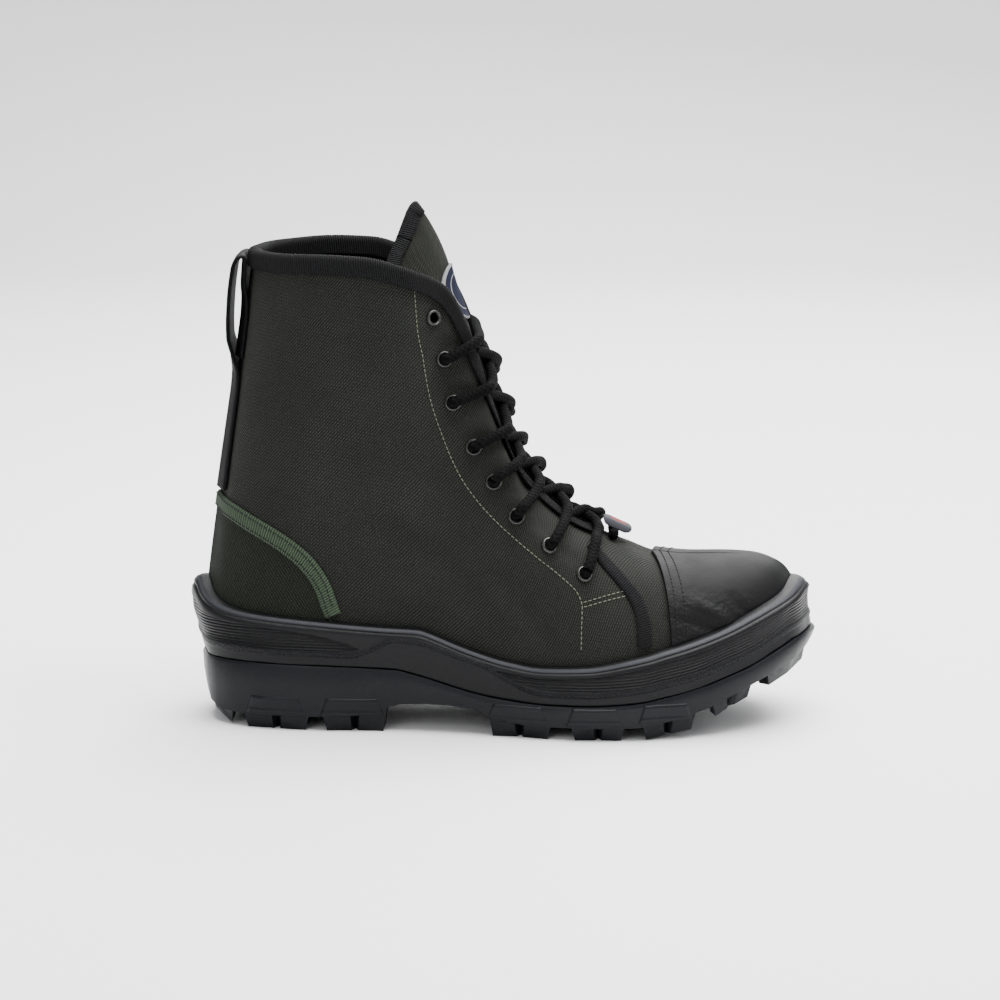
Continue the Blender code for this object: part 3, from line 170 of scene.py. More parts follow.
@dataclass
class Last:
    """The boot's form: cubic ribs from the footbed edge to collar, throat or ridge."""

    length: float = 285.0 * MM
    ball_half: float = 50.0 * MM
    collar_height: float = 226.0 * MM
    collar_half: float = 41.0 * MM
    heel_bed: float = 46.0 * MM
    rand_height: float = 68.0 * MM
    ledge_height: float = 33.0 * MM
    rand_wall: float = 6.6 * MM
    clear: float = 0.3 * MM
    heel_share: float = 0.5124
    ridge_from: float = 12.0
    crease_depth: float = 1.25 * MM
    shift: Array = field(default_factory=lambda: np.zeros(3))

    @property
    def stations(self) -> float:
        """Number of the last rib, at the toe tip."""
        return len(RIBS) - 1.0

    @property
    def heel_back(self) -> float:
        """X of the heel's back on the last."""
        return -self.length * self.heel_share

    def level(self, name: str, x: Array) -> Array:
        """Height of a named level line at x, from the level table.

        Args:
            name: Which line: bed, rand or ledge.
            x: Places along the boot.

        Returns:
            Heights, with the shape of x.
        """
        shares = (np.asarray(x, dtype=float) - self.heel_back) / self.length
        size = {"bed": self.heel_bed, "rand": self.rand_height}.get(name, self.ledge_height)
        return smooth_table(LEVELS, LEVEL_COLUMNS, "at", shares.ravel())[name].reshape(shares.shape) * size

    def rib_value(self, name: str, ring: Array) -> Array:
        """One column of the rib table at ring values."""
        station = self.stations - np.abs(self.stations - np.mod(ring, 2.0 * self.stations))
        return smooth_table(RIBS, RIB_COLUMNS, None, station.ravel())[name].reshape(np.shape(ring))

    def ribs(self, station: Array, side: int) -> tuple[Array, Array, Array, Array]:
        """The four control points of each rib of one side.

        Args:
            station: Ribs to read.
            side: -1 for the outer side, 1 for the inner.

        Returns:
            Foot, low, high and top control points.
        """
        row = smooth_table(RIBS, RIB_COLUMNS, None, station)
        foot = np.stack([self.heel_back + row["foot"] * self.length,
                         (row["lat"] if side < 0 else row["med"]) * self.ball_half * side,
                         np.zeros(len(station))], 1)
        foot[:, 2] = self.level("bed", foot[:, 0]) + self.clear
        top = np.stack([self.heel_back + row["top"] * self.length, row["half"] * self.collar_half * side,
                        row["high"] * self.collar_height], 1)
        tall = top[:, 2] - foot[:, 2]
        low = np.stack([foot[:, 0] + row["sweep"] * (top[:, 0] - foot[:, 0]),
                        foot[:, 1] + row["bow"] * (top[:, 1] - foot[:, 1]), foot[:, 2] + row["rise"] * tall],
                        1)
        high = np.stack([top[:, 0] + row["trail"] * (foot[:, 0] - top[:, 0]),
                         top[:, 1] + row["spread"] * (foot[:, 1] - top[:, 1]),
                         top[:, 2] - row["drop"] * tall], 1)
        return foot, low, high, top

    def point(self, ring: Array, share: Array) -> Array:
        """Points of the outer surface: the cubic rib at ring, read at share.

        Args:
            ring: 0 at the back seam, stations at the toe tip, twice that at the
                back seam again; the first half is the outer side.
            share: 0 at the footbed edge, 1 at the top of the rib.

        Returns:
            Points, with the shape of ring and share and a last axis of three.
        """
        ring, share = np.broadcast_arrays(np.asarray(ring, float), np.asarray(share, float))
        shape = ring.shape
        turn = np.mod(ring.ravel(), 2.0 * self.stations)
        outer = (turn <= self.stations)[:, None]
        station = np.where(outer[:, 0], turn, 2.0 * self.stations - turn)
        pairs = zip(self.ribs(station, -1), self.ribs(station, 1))
        p0, p1, p2, p3 = (np.where(outer, a, b) for a, b in pairs)
        t = share.ravel()[:, None]
        s = 1.0 - t
        return (s**3 * p0 + 3 * s**2 * t * p1 + 3 * s * t**2 * p2 + t**3
                * p3).reshape(shape + (3,)) + self.shift

    def normal(self, ring: Array, share: Array) -> Array:
        """Outward normals: the cross product of the steps along ring and share.

        Args:
            ring: As for point.
            share: As for point.

        Returns:
            Unit normals, shaped as point's result.
        """
        ring, share = np.broadcast_arrays(np.asarray(ring, float), np.asarray(share, float))
        step = 0.03
        near = np.minimum(share, 0.98)

        def across(turn: Array) -> Array:
            """Normal from small steps round a turn of the ring.

            Args:
                turn: Ring values.

            Returns:
                Unit normals there.
            """
            along = self.point(turn + step, near) - self.point(turn - step, near)
            rise = self.point(turn, near + 0.02) - self.point(turn, np.maximum(near - step, 0.0))
            return unit(np.cross(along, rise))

        normal = across(ring)
        station = self.stations - np.abs(self.stations - np.mod(ring, 2.0 * self.stations))
        near_ridge = np.clip((share - 0.93) / 0.07, 0.0, 1.0) ** 2 * 0.5
        mirror = across(-ring)
        ridge = (station >= self.ridge_from)[..., None]
        return unit(np.where(ridge, normal * (1.0 - near_ridge[..., None]) + mirror * near_ridge[..., None],
                             normal))

    def creases(self, points: Array) -> Array:
        """Depth of the listed creases at points: soft troughs and ridges.

        Each crease is a bell curve across a line in side view, faded at its ends.

        Args:
            points: Points of the surface.

        Returns:
            Height over the smooth surface at each point.
        """
        x, z = (points[..., 0] - self.shift[0]) / MM, points[..., 2] / MM
        side = np.sign(points[..., 1] - self.shift[1])
        total = np.zeros(x.shape)
        for px, pz, length, wide, angle, depth in CREASES:
            a = math.radians(angle)
            along = (x - px) * math.cos(a) + (z - pz) * math.sin(a) + 3.0 * side
            over = -(x - px) * math.sin(a) + (z - pz) * math.cos(a) + 0.004 * along**2 - 1.5 * side
            total += depth * np.exp(-(over / wide) ** 2 - (along / length) ** 4)
        return total * self.crease_depth

    def skin(self, ring: Array, share: Array, lift: float | Array = 0.0) -> Array:
        """Outer surface with its creases, moved out along its normals by lift.

        Args:
            ring: As for point.
            share: As for point.
            lift: Distance out along the normal.

        Returns:
            Points, shaped as point's result.
        """
        base = self.point(ring, share)
        fade = np.clip(np.minimum(share, 1.0 - share) / 0.08, 0.0, 1.0) * np.ones(base.shape[:-1])
        move = np.asarray(lift) + self.creases(base) * fade
        return base + self.normal(ring, share) * np.broadcast_to(move, base.shape[:-1])[..., None]

    def share_at(self, ring: Array, z: Array) -> Array:
        """Share at which each rib of the ring first reaches height z.

        Args:
            ring: Ribs to read.
            z: Height, one for all or one for each rib.

        Returns:
            A share for each rib.
        """
        shares = np.linspace(0.0, 1.0, 121)
        heights = np.maximum.accumulate(self.point(ring[:, None], shares[None, :])[..., 2], axis=1)
        z = np.broadcast_to(z, ring.shape)
        return np.array([np.interp(v, h, shares) for v, h in zip(z, heights)])

    def locate(self, spots: Array, side: Side) -> Array:
        """Ring and share of the surface points seen from the side at (x, z) in millimetres.

        Args:
            spots: Rows of x and z, in millimetres from the boot's own zero.
            side: The side of the boot the spots lie on.

        Returns:
            Rows of ring and share, found on a grid and sharpened by Newton steps.
        """
        want = np.asarray(spots, float) * MM + self.shift[[0, 2]]
        stations = np.linspace(0.0, self.stations, 171)
        grid_ring = stations if side is Side.OUTER else 2.0 * self.stations - stations
        grid_share = np.linspace(0.0, 1.0, 81)
        grid = self.point(grid_ring[:, None], grid_share[None, :])[..., [0, 2]]
        far = ((grid[None] - want[:, None, None]) ** 2).sum(-1).reshape(len(want), -1)
        i, j = np.unravel_index(far.argmin(axis=1), grid.shape[:2])
        ring, share = grid_ring[i], grid_share[j]
        for _ in range(4):
            here = self.point(ring, share)[:, [0, 2]]
            by_ring = (self.point(ring + 0.01, share)[:, [0, 2]] - here) / 0.01
            by_share = (here - self.point(ring, share - 0.01)[:, [0, 2]]) / 0.01
            gap = want - here
            det = by_ring[:, 0] * by_share[:, 1] - by_ring[:, 1] * by_share[:, 0]
            det = np.where(np.abs(det) < 1e-9, 1e-9, det)
            ring = ring + np.clip((gap[:, 0] * by_share[:, 1] - gap[:, 1] * by_share[:, 0]) / det, -1.0, 1.0)
            move = (by_ring[:, 0] * gap[:, 1] - by_ring[:, 1] * gap[:, 0]) / det
            share = np.clip(share + np.clip(move, -0.2, 0.2), 0.0, 1.0)
        return np.column_stack([ring, share])


# Creases in side view, in millimetres: x, z, half length, half width, angle, depth
CREASES = (
    (-23.5, 186.0, 9.0, 3.2, -8.0, -0.9), (-18.5, 164.5, 9.0, 3.2, -12.0, -0.9),
    (-10.0, 142.0, 9.0, 3.2, -18.0, -0.9),
    (1.0, 121.0, 9.0, 3.2, -24.0, -0.9), (14.0, 104.0, 8.0, 3.0, -30.0, -0.8),
    (29.0, 90.0, 7.0, 2.8, -36.0, -0.7),
    (-45.0, 128.0, 26.0, 5.0, -24.0, -1.0), (-56.0, 112.0, 30.0, 6.0, -30.0, 0.8),
    (-70.0, 148.0, 28.0, 6.0, -12.0, -0.8), (-84.0, 170.0, 24.0, 5.0, 8.0, 0.7),
    (-30.0, 86.0, 24.0, 6.0, -38.0, -0.9), (-8.0, 72.0, 22.0, 5.0, -44.0, 0.8),
    (14.0, 60.0, 16.0, 4.0, -52.0, -0.8), (-60.0, 84.0, 22.0, 6.0, -48.0, 0.6),
    (-96.0, 128.0, 22.0, 6.0, 18.0, -0.6), (-66.0, 196.0, 26.0, 7.0, 4.0, 0.6),
    (96.0, 62.0, 12.0, 2.2, -24.0, 0.7), (88.0, 56.0, 14.0, 2.0, -18.0, -0.8),
    (104.0, 56.0, 12.0, 1.8, -34.0, 0.6), (112.0, 62.0, 9.0, 2.0, -44.0, -0.5),
)


@dataclass
class Sheet:
    """A grid of points with its pattern coordinates and masks, made into a mesh."""

    name: str
    points: Array
    uv: Array
    masks: dict[str, Array] = field(default_factory=dict)

    def mesh(self) -> bpy.types.Mesh:
        """Weld equal points of the grid and make its mesh.

        Points at the same place to a micron share a vertex, so closed
        surfaces carry their first row or column again at the end.

        Returns:
            The mesh, with a UV map in metres and one attribute for each mask.
        """
        rows, columns = self.points.shape[:2]
        keys = np.round(self.points.reshape(-1, 3) * 1e6).astype(np.int64)
        _, first, inverse = np.unique(keys, axis=0, return_index=True, return_inverse=True)
        inverse = inverse.ravel()
        grid = np.arange(rows * columns).reshape(rows, columns)
        corners = np.stack([grid[:-1, :-1], grid[1:, :-1], grid[1:, 1:], grid[:-1, 1:]], -1).reshape(-1, 4)
        ids = inverse[corners]
        same = ids == np.roll(ids, -1, axis=1)
        crossed = (ids[:, 0] == ids[:, 2]) | (ids[:, 1] == ids[:, 3])
        quads = ~same.any(axis=1) & ~crossed
        thirds = (same.sum(axis=1) == 1) & ~crossed
        keep = ~same[thirds]
        tri_corner = corners[thirds][keep].reshape(-1, 3)
        sheets = [corners[quads], tri_corner]
        faces = [inverse[part] for part in sheets]
        order = np.concatenate([part.ravel() for part in sheets])
        mesh = bpy.data.meshes.new(self.name)
        mesh.from_pydata(self.points.reshape(-1, 3)[first].tolist(), [],
                         faces[0].tolist() + faces[1].tolist())
        layer = mesh.uv_layers.new(name="pattern")
        layer.data.foreach_set("uv", self.uv.reshape(-1, 2)[order].astype(np.float32).ravel())
        for name, values in self.masks.items():
            attribute = mesh.attributes.new(name, "FLOAT", "POINT")
            attribute.data.foreach_set("value", np.asarray(values, np.float32).ravel()[first])
        mesh.shade_smooth()
        return mesh


def piece(sheets: Sequence[Sheet], name: str, material: bpy.types.Material, *nodes: str,
          solid: bool = True) -> bpy.types.Object:
    """Join grids into one object that rides on the boot.

    Args:
        sheets: The grids that make up the piece.
        name: The object's name.
        material: Its finish.
        nodes: CAD nodes it stands for.
        solid: Whether its faces are turned outwards as a closed body's.

    Returns:
        The finished object, at the origin.
    """
    gathered = bmesh.new()
    for sheet in sheets:
        mesh = sheet.mesh()
        gathered.from_mesh(mesh)
        bpy.data.meshes.remove(mesh)
    if solid:
        bmesh.ops.recalc_face_normals(gathered, faces=gathered.faces)
    mesh = bpy.data.meshes.new(name)
    gathered.to_mesh(mesh)
    gathered.free()
    mesh.shade_smooth()
    mesh.materials.append(material)
    made = bpy.data.objects.new(name, mesh)
    bpy.context.scene.collection.objects.link(made)
    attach(made, "root")
    if nodes:
        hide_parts(*nodes)
    LOG.info("%s: %d faces", name, len(mesh.polygons))
    return made


def closed_band(outer: Array, inner: Array, uv: Array, round_again: bool) -> tuple[Array, Array]:
    """Rows of a closed wall: up its outer face, over its top and down its inner face.

    Args:
        outer: Grid of the outer face, across by up.
        inner: Grid of the inner face, the same shape.
        uv: Pattern coordinates of the outer face.
        round_again: Whether the band closes round the boot.

    Returns:
        The points and pattern coordinates, the first row repeated at the end;
        an open band has its two ends closed as well.
    """
    points = np.concatenate([outer, inner[:, ::-1], outer[:, :1]], axis=1)
    pattern = np.concatenate([uv, uv[:, ::-1], uv[:, :1]], axis=1)
    if not round_again:
        middle = 0.5 * (outer + inner)
        caps = [np.concatenate([middle[i:i + 1], middle[i:i + 1, ::-1], middle[i:i + 1, :1]], axis=1)
                for i in (0, -1)]
        points = np.concatenate([caps[0], points, caps[1]], axis=0)
        pattern = np.concatenate([pattern[:1], pattern, pattern[-1:]], axis=0)
    return points, pattern


def arc_uv(points: Array) -> Array:
    """Pattern coordinates in metres: the path length along columns and rows.

    Args:
        points: Grid of points.

    Returns:
        Path length along the columns and along the rows, at each point.
    """
    across = np.concatenate([np.zeros((1,) + points.shape[1:2]),
                             np.cumsum(np.linalg.norm(np.diff(points, axis=0), axis=-1), axis=0)])
    up = np.concatenate([np.zeros(points.shape[:1] + (1,)),
                         np.cumsum(np.linalg.norm(np.diff(points, axis=1), axis=-1), axis=1)], axis=1)
    middle = across[:, across.shape[1] // 2]
    return np.stack([np.broadcast_to(middle[:, None], up.shape), up], -1)


def swept(path: Array, radius: float, sides: int, turn_from: Sequence[float] = (0.3, 0.1, 0.95)) -> Array:
    """Round tube along a path, its ends drawn in to a point.

    Each ring is centre + radius * (cos * a + sin * b), with a and b square to
    the path.

    Args:
        path: Points of the middle line.
        radius: Radius of the tube.
        sides: Steps round it.
        turn_from: A direction that a is kept square to.

    Returns:
        Grid of points, along by round, closed round and at both ends.
    """
    ahead = unit(np.gradient(path, axis=0))
    a = unit(np.cross(ahead, np.asarray(turn_from)))
    b = np.cross(ahead, a)
    t = np.linspace(0.0, 2.0 * math.pi, sides + 1)
    t[-1] = 0.0
    ring = a[:, None] * np.cos(t)[None, :, None] + b[:, None] * np.sin(t)[None, :, None]
    body = path[:, None] + radius * ring
    caps = [(path[i] + (ahead[i] * s * radius * 0.5))[None, None] * np.ones((1, sides + 1, 1))
            for i, s in ((0, -1), (-1, 1))]
    soft = [(path[i] + ahead[i] * s * radius * 0.35)[None, None] + 0.7 * radius * ring[i][None]
            for i, s in ((0, -1), (-1, 1))]
    return np.concatenate([caps[0], soft[0], body, soft[1], caps[1]], axis=0)


class Wiring:
    """Short hand for adding and joining the nodes of one tree."""

    def __init__(self, tree: bpy.types.NodeTree) -> None:
        """Work on a node tree."""
        self.tree = tree

    def add(self, kind: str, *inputs: object, **settings: object) -> bpy.types.Node:
        """Add a node.

        Args:
            kind: Blender's node type name.
            inputs: A value or an output for each input in turn, None to leave one.
            settings: Properties of the node.

        Returns:
            The node.
        """
        node = self.tree.nodes.new(kind)
        for name, value in settings.items():
            setattr(node, name, value)
        for socket, value in zip(node.inputs, inputs):
            self.put(socket, value)
        return node

    def put(self, socket: bpy.types.NodeSocket, value: object) -> None:
        """Set a socket to a value, or join an output to it."""
        if isinstance(value, bpy.types.NodeSocket):
            self.tree.links.new(value, socket)
        elif value is not None:
            socket.default_value = value

    def math(self, operation: str, *values: object) -> bpy.types.NodeSocket:
        """Output of a Math node over the given values."""
        return self.add("ShaderNodeMath", *values, operation=operation).outputs[0]

    def wave(self, along: object, pitch: object, shift: object = 0.0) -> bpy.types.NodeSocket:
        """Half of one plus the sine of along over pitch in turns, plus shift."""
        turns = self.math("ADD", self.math("DIVIDE", along, pitch), shift)
        return self.math("MULTIPLY_ADD", self.math("SINE", self.math("MULTIPLY", turns, 2.0 * math.pi)), 0.5,
                         0.5)

    def blend(self, factor: object, low: object, high: object) -> bpy.types.NodeSocket:
        """Colour between low and high by factor.

        Args:
            factor: Value or output from 0 to 1.
            low: Colour at 0.
            high: Colour at 1.

        Returns:
            The colour's output.
        """
        node = self.add("ShaderNodeMix", data_type="RGBA")
        for socket, value in zip((node.inputs[0], node.inputs[6], node.inputs[7]), (factor, low, high)):
            self.put(socket, value)
        return node.outputs[2]

    def noise(self, vector: object, scale: float, detail: float = 3.0,
              rough: float = 0.5) -> bpy.types.NodeSocket:
        """Smooth noise from 0 to 1 at a scale in features for each metre.

        Args:
            vector: Coordinates.
            scale: Features for each metre.
            detail: Finer layers.
            rough: Strength of the finer layers.

        Returns:
            The noise's output.
        """
        node = self.add("ShaderNodeTexNoise")
        self.put(node.inputs["Vector"], vector)
        for name, value in (("Scale", scale), ("Detail", detail), ("Roughness", rough)):
            node.inputs[name].default_value = value
        return node.outputs["Fac"]


def new_group(name: str, inputs: Sequence[tuple[str, str, object]],
              outputs: Sequence[tuple[str, str]]) -> tuple:
    """Make a shader node group with its sockets.

    Args:
        name: Name of the group.
        inputs: Name, socket type and default of each input.
        outputs: Name and socket type of each output.

    Returns:
        The group, its wiring, its input node and its output node.
    """
    group = bpy.data.node_groups.new(name, "ShaderNodeTree")
    for label, kind, value in inputs:
        socket = group.interface.new_socket(name=label, in_out="INPUT", socket_type=kind)
        if value is not None:
            socket.default_value = value
    for label, kind in outputs:
        group.interface.new_socket(name=label, in_out="OUTPUT", socket_type=kind)
    wires = Wiring(group)
    return group, wires, group.nodes.new("NodeGroupInput"), group.nodes.new("NodeGroupOutput")


def twill_group() -> bpy.types.NodeTree:
    """Twill cloth: slanted ridges of width Pitch, broken into threads of length Thread.

    Returns:
        The group.
    """
    group, w, source, out = new_group(
        "Twill", [("Vector", "NodeSocketVector", None), ("Pitch", "NodeSocketFloat", 0.00115),
                  ("Thread", "NodeSocketFloat", 0.0019), ("Angle", "NodeSocketFloat", 0.87)],
        [("Height", "NodeSocketFloat"), ("Crown", "NodeSocketFloat")])
    split = w.add("ShaderNodeSeparateXYZ", source.outputs["Vector"]).outputs
    cosine = w.math("COSINE", source.outputs["Angle"])
    sine = w.math("SINE", source.outputs["Angle"])
    over = w.math("SUBTRACT", w.math("MULTIPLY", split[1], cosine), w.math("MULTIPLY", split[0], sine))
    along = w.math("ADD", w.math("MULTIPLY", split[0], cosine), w.math("MULTIPLY", split[1], sine))
    wander = w.math("MULTIPLY", w.noise(source.outputs["Vector"], 160.0, 2.0), 0.0005)
    over = w.math("ADD", over, wander)
    ridge = w.wave(over, source.outputs["Pitch"])
    row = w.math("FLOOR", w.math("ADD", w.math("DIVIDE", over, source.outputs["Pitch"]), 0.25))
    thread = w.wave(along, source.outputs["Thread"], w.math("MULTIPLY", row, 0.37))
    fuzz = w.noise(source.outputs["Vector"], 5200.0, 2.0)
    height = w.math("MULTIPLY", ridge, w.math("MULTIPLY_ADD", thread, 0.4, 0.6))
    w.put(out.inputs["Height"], w.math("MULTIPLY_ADD", fuzz, 0.18, height))
    crown = w.math("MULTIPLY", w.math("POWER", height, 1.6), w.math("MULTIPLY_ADD", fuzz, 0.9, 0.45))
    w.put(out.inputs["Crown"], crown)
    return group


def tape_group() -> bpy.types.NodeTree:
    """Ribbed tape: cross ribs of width Pitch along U, crossed by finer threads along V.

    Returns:
        The group.
    """
    group, w, source, out = new_group(
        "Ribbed tape", [("Vector", "NodeSocketVector", None), ("Pitch", "NodeSocketFloat", 0.0011),
                        ("Width", "NodeSocketFloat", 0.0066)],
        [("Height", "NodeSocketFloat"), ("Crown", "NodeSocketFloat")])
    split = w.add("ShaderNodeSeparateXYZ", source.outputs["Vector"]).outputs
    slant = w.math("MULTIPLY_ADD", split[1], 0.18, split[0])
    rib = w.math("POWER", w.wave(slant, source.outputs["Pitch"]), 0.7)
    fine = w.wave(split[1], 0.00055, w.math("MULTIPLY", slant, 400.0))
    fuzz = w.noise(source.outputs["Vector"], 4200.0, 2.0)
    height = w.math("MULTIPLY", rib, w.math("MULTIPLY_ADD", fine, 0.25, 0.75))
    w.put(out.inputs["Height"], w.math("MULTIPLY_ADD", fuzz, 0.15, height))
    w.put(out.inputs["Crown"], w.math("MULTIPLY", height, w.math("MULTIPLY_ADD", fuzz, 0.8, 0.5)))
    return group


def grain_group() -> bpy.types.NodeTree:
    """Leather grain: rounded cells of size Cell with pores between them, over soft unevenness.

    Returns:
        The group.
    """
    group, w, source, out = new_group(
        "Grain", [("Vector", "NodeSocketVector", None), ("Cells", "NodeSocketFloat", 900.0)],
        [("Height", "NodeSocketFloat"), ("Soft", "NodeSocketFloat")])
    cells = w.add("ShaderNodeTexVoronoi", feature="SMOOTH_F1")
    w.put(cells.inputs["Vector"], source.outputs["Vector"])
    w.put(cells.inputs["Scale"], source.outputs["Cells"])
    cells.inputs["Smoothness"].default_value = 0.6
    w.put(out.inputs["Height"], w.math("SUBTRACT", 1.0, cells.outputs["Distance"]))
    w.put(out.inputs["Soft"], w.noise(source.outputs["Vector"], 60.0, 4.0, 0.6))
    return group


def dust_group() -> bpy.types.NodeTree:
    """Light dust and tone changes: Colour moved towards Dust where two noises meet.

    Returns:
        The group.
    """
    group, w, source, out = new_group(
        "Dust", [("Vector", "NodeSocketVector", None), ("Colour", "NodeSocketColor", (0.1, 0.1, 0.1, 1.0)),
                 ("Dust", "NodeSocketColor", (0.2, 0.2, 0.18, 1.0)), ("Amount", "NodeSocketFloat", 0.15)],
        [("Colour", "NodeSocketColor")])
    cloud = w.noise(source.outputs["Vector"], 24.0, 5.0, 0.65)
    speck = w.noise(source.outputs["Vector"], 900.0, 2.0, 0.6)
    mask = w.math("MULTIPLY", w.math("MULTIPLY", cloud, speck),
                  w.math("MULTIPLY", source.outputs["Amount"], 3.0))
    w.put(out.inputs["Colour"], w.blend(mask, source.outputs["Colour"], source.outputs["Dust"]))
    return group


class Groups:
    """The shared node groups, built once."""

    made: dict[str, bpy.types.NodeTree] = {}
    makers: dict[str, Callable[[], bpy.types.NodeTree]] = {
        "twill": twill_group, "tape": tape_group, "grain": grain_group, "dust": dust_group}

    @classmethod
    def use(cls, wires: Wiring, name: str, **inputs: object) -> bpy.types.Node:
        """Place a group in a material with its own values.

        Args:
            wires: The material's wiring.
            name: Which group.
            inputs: Values or outputs by socket name.

        Returns:
            The group node.
        """
        if name not in cls.made:
            cls.made[name] = cls.makers[name]()
        node = wires.add("ShaderNodeGroup", node_tree=cls.made[name])
        for label, value in inputs.items():
            wires.put(node.inputs[label], value)
        return node


def linear(red: int, green: int, blue: int) -> tuple[float, float, float, float]:
    """Linear colour of a screen colour from 0 to 255."""
    values = [((c / 255.0 + 0.055) / 1.055) ** 2.4 if c > 10 else c / 3294.6 for c in (red, green, blue)]
    return (values[0], values[1], values[2], 1.0)


@dataclass(frozen=True)
class Finish:
    """Base of the finishes: a named material with one Principled shader."""

    name: str
    colour: tuple
    rough: float = 0.8
    sheen: float = 0.0
    coat: float = 0.0
    metal: float = 0.0
    relief: float = 0.3 * MM
    dust: float = 0.1
    shine: float = 0.12

    def start(self) -> tuple[bpy.types.Material, Wiring, bpy.types.Node]:
        """Make the material, its wiring and its Principled shader with the plain values.

        Returns:
            The material, its wiring and its shader.
        """
        material = bpy.data.materials.new(self.name)
        material.use_nodes = True
        wires = Wiring(material.node_tree)
        shader = material.node_tree.nodes["Principled BSDF"]
        shader.inputs["Roughness"].default_value = self.rough
        shader.inputs["Sheen Weight"].default_value = self.sheen
        shader.inputs["Coat Weight"].default_value = self.coat
        shader.inputs["Coat Roughness"].default_value = 0.28
        shader.inputs["Metallic"].default_value = self.metal
        shader.inputs["Specular IOR Level"].default_value = self.shine
        return material, wires, shader

    def pattern(self, wires: Wiring) -> tuple[bpy.types.NodeSocket, bpy.types.NodeSocket]:
        """The piece's own pattern coordinates and its place on the boot."""
        uv = wires.add("ShaderNodeUVMap", uv_map="pattern").outputs[0]
        return uv, wires.add("ShaderNodeTexCoord").outputs["Object"]

    def finish(self, wires: Wiring, shader: bpy.types.Node, place: object, colour: object, height: object,
               rough: object = None) -> None:
        """Join dusted colour, relief and roughness to the shader.

        Args:
            wires: The material's wiring.
            shader: Its Principled shader.
            place: Coordinates of the dust.
            colour: The colour before dust.
            height: The relief, from 0 to 1.
            rough: Roughness where it varies.
        """
        dusted = Groups.use(wires, "dust", Vector=place, Colour=colour, Amount=self.dust)
        wires.put(shader.inputs["Base Color"], dusted.outputs[0])
        bump = wires.add("ShaderNodeBump")
        bump.inputs["Strength"].default_value = 1.0
        bump.inputs["Distance"].default_value = self.relief
        wires.put(bump.inputs["Height"], height)
        wires.put(shader.inputs["Normal"], bump.outputs[0])
        if rough is not None:
            wires.put(shader.inputs["Roughness"], rough)


@dataclass(frozen=True)
class Canvas(Finish):
    """Cotton twill: dark ground with lighter slanted threads."""

    thread: tuple = (0.1, 0.1, 0.09, 1.0)
    pitch: float = 1.15 * MM
    angle: float = 50.0

    def material(self) -> bpy.types.Material:
        """Build the material.

        Returns:
            The material.
        """
        material, w, shader = self.start()
        uv, place = self.pattern(w)
        weave = Groups.use(w, "twill", Vector=uv, Pitch=self.pitch, Thread=self.pitch * 1.7,
                           Angle=math.radians(self.angle))
        tone = w.noise(place, 35.0, 4.0, 0.6)
        crown = w.math("MULTIPLY", weave.outputs["Crown"], w.math("MULTIPLY_ADD", tone, 0.8, 0.6))
        self.finish(w, shader, place, w.blend(crown, self.colour, self.thread), weave.outputs["Height"])
        return material


@dataclass(frozen=True)
class Tape(Finish):
    """Ribbed woven tape with lighter rib crowns."""

    thread: tuple = (0.1, 0.1, 0.1, 1.0)
    pitch: float = 1.1 * MM

    def material(self) -> bpy.types.Material:
        """Build the material.

        Returns:
            The material.
        """
        material, w, shader = self.start()
        uv, place = self.pattern(w)
        ribs = Groups.use(w, "tape", Vector=uv, Pitch=self.pitch)
        self.finish(w, shader, place, w.blend(ribs.outputs["Crown"], self.colour, self.thread),
                    ribs.outputs["Height"])
        return material


@dataclass(frozen=True)
class Leather(Finish):
    """Smooth black leather with pebble grain where the wrinkle mask says so."""

    cells: float = 700.0
    wrinkled: bool = False

    def material(self) -> bpy.types.Material:
        """Build the material.

        Returns:
            The material.
        """
        material, w, shader = self.start()
        _, place = self.pattern(w)
        grain = Groups.use(w, "grain", Vector=place, Cells=self.cells)
        height = w.math("MULTIPLY", grain.outputs["Height"], 0.22)
        if self.wrinkled:
            mask = w.add("ShaderNodeAttribute", attribute_name="wrinkle").outputs["Fac"]
            coarse = w.noise(place, 260.0, 3.0, 0.6)
            height = w.math("ADD", height, w.math("MULTIPLY", mask, w.math("MULTIPLY", coarse, 4.0)))
        tone = w.blend(grain.outputs["Soft"], self.colour,
                       tuple(min(1.0, 1.7 * c) for c in self.colour[:3]) + (1.0,))
        rough = w.math("MULTIPLY_ADD", grain.outputs["Soft"], 0.2, self.rough - 0.1)
        self.finish(w, shader, place, tone, height, rough)
        return material


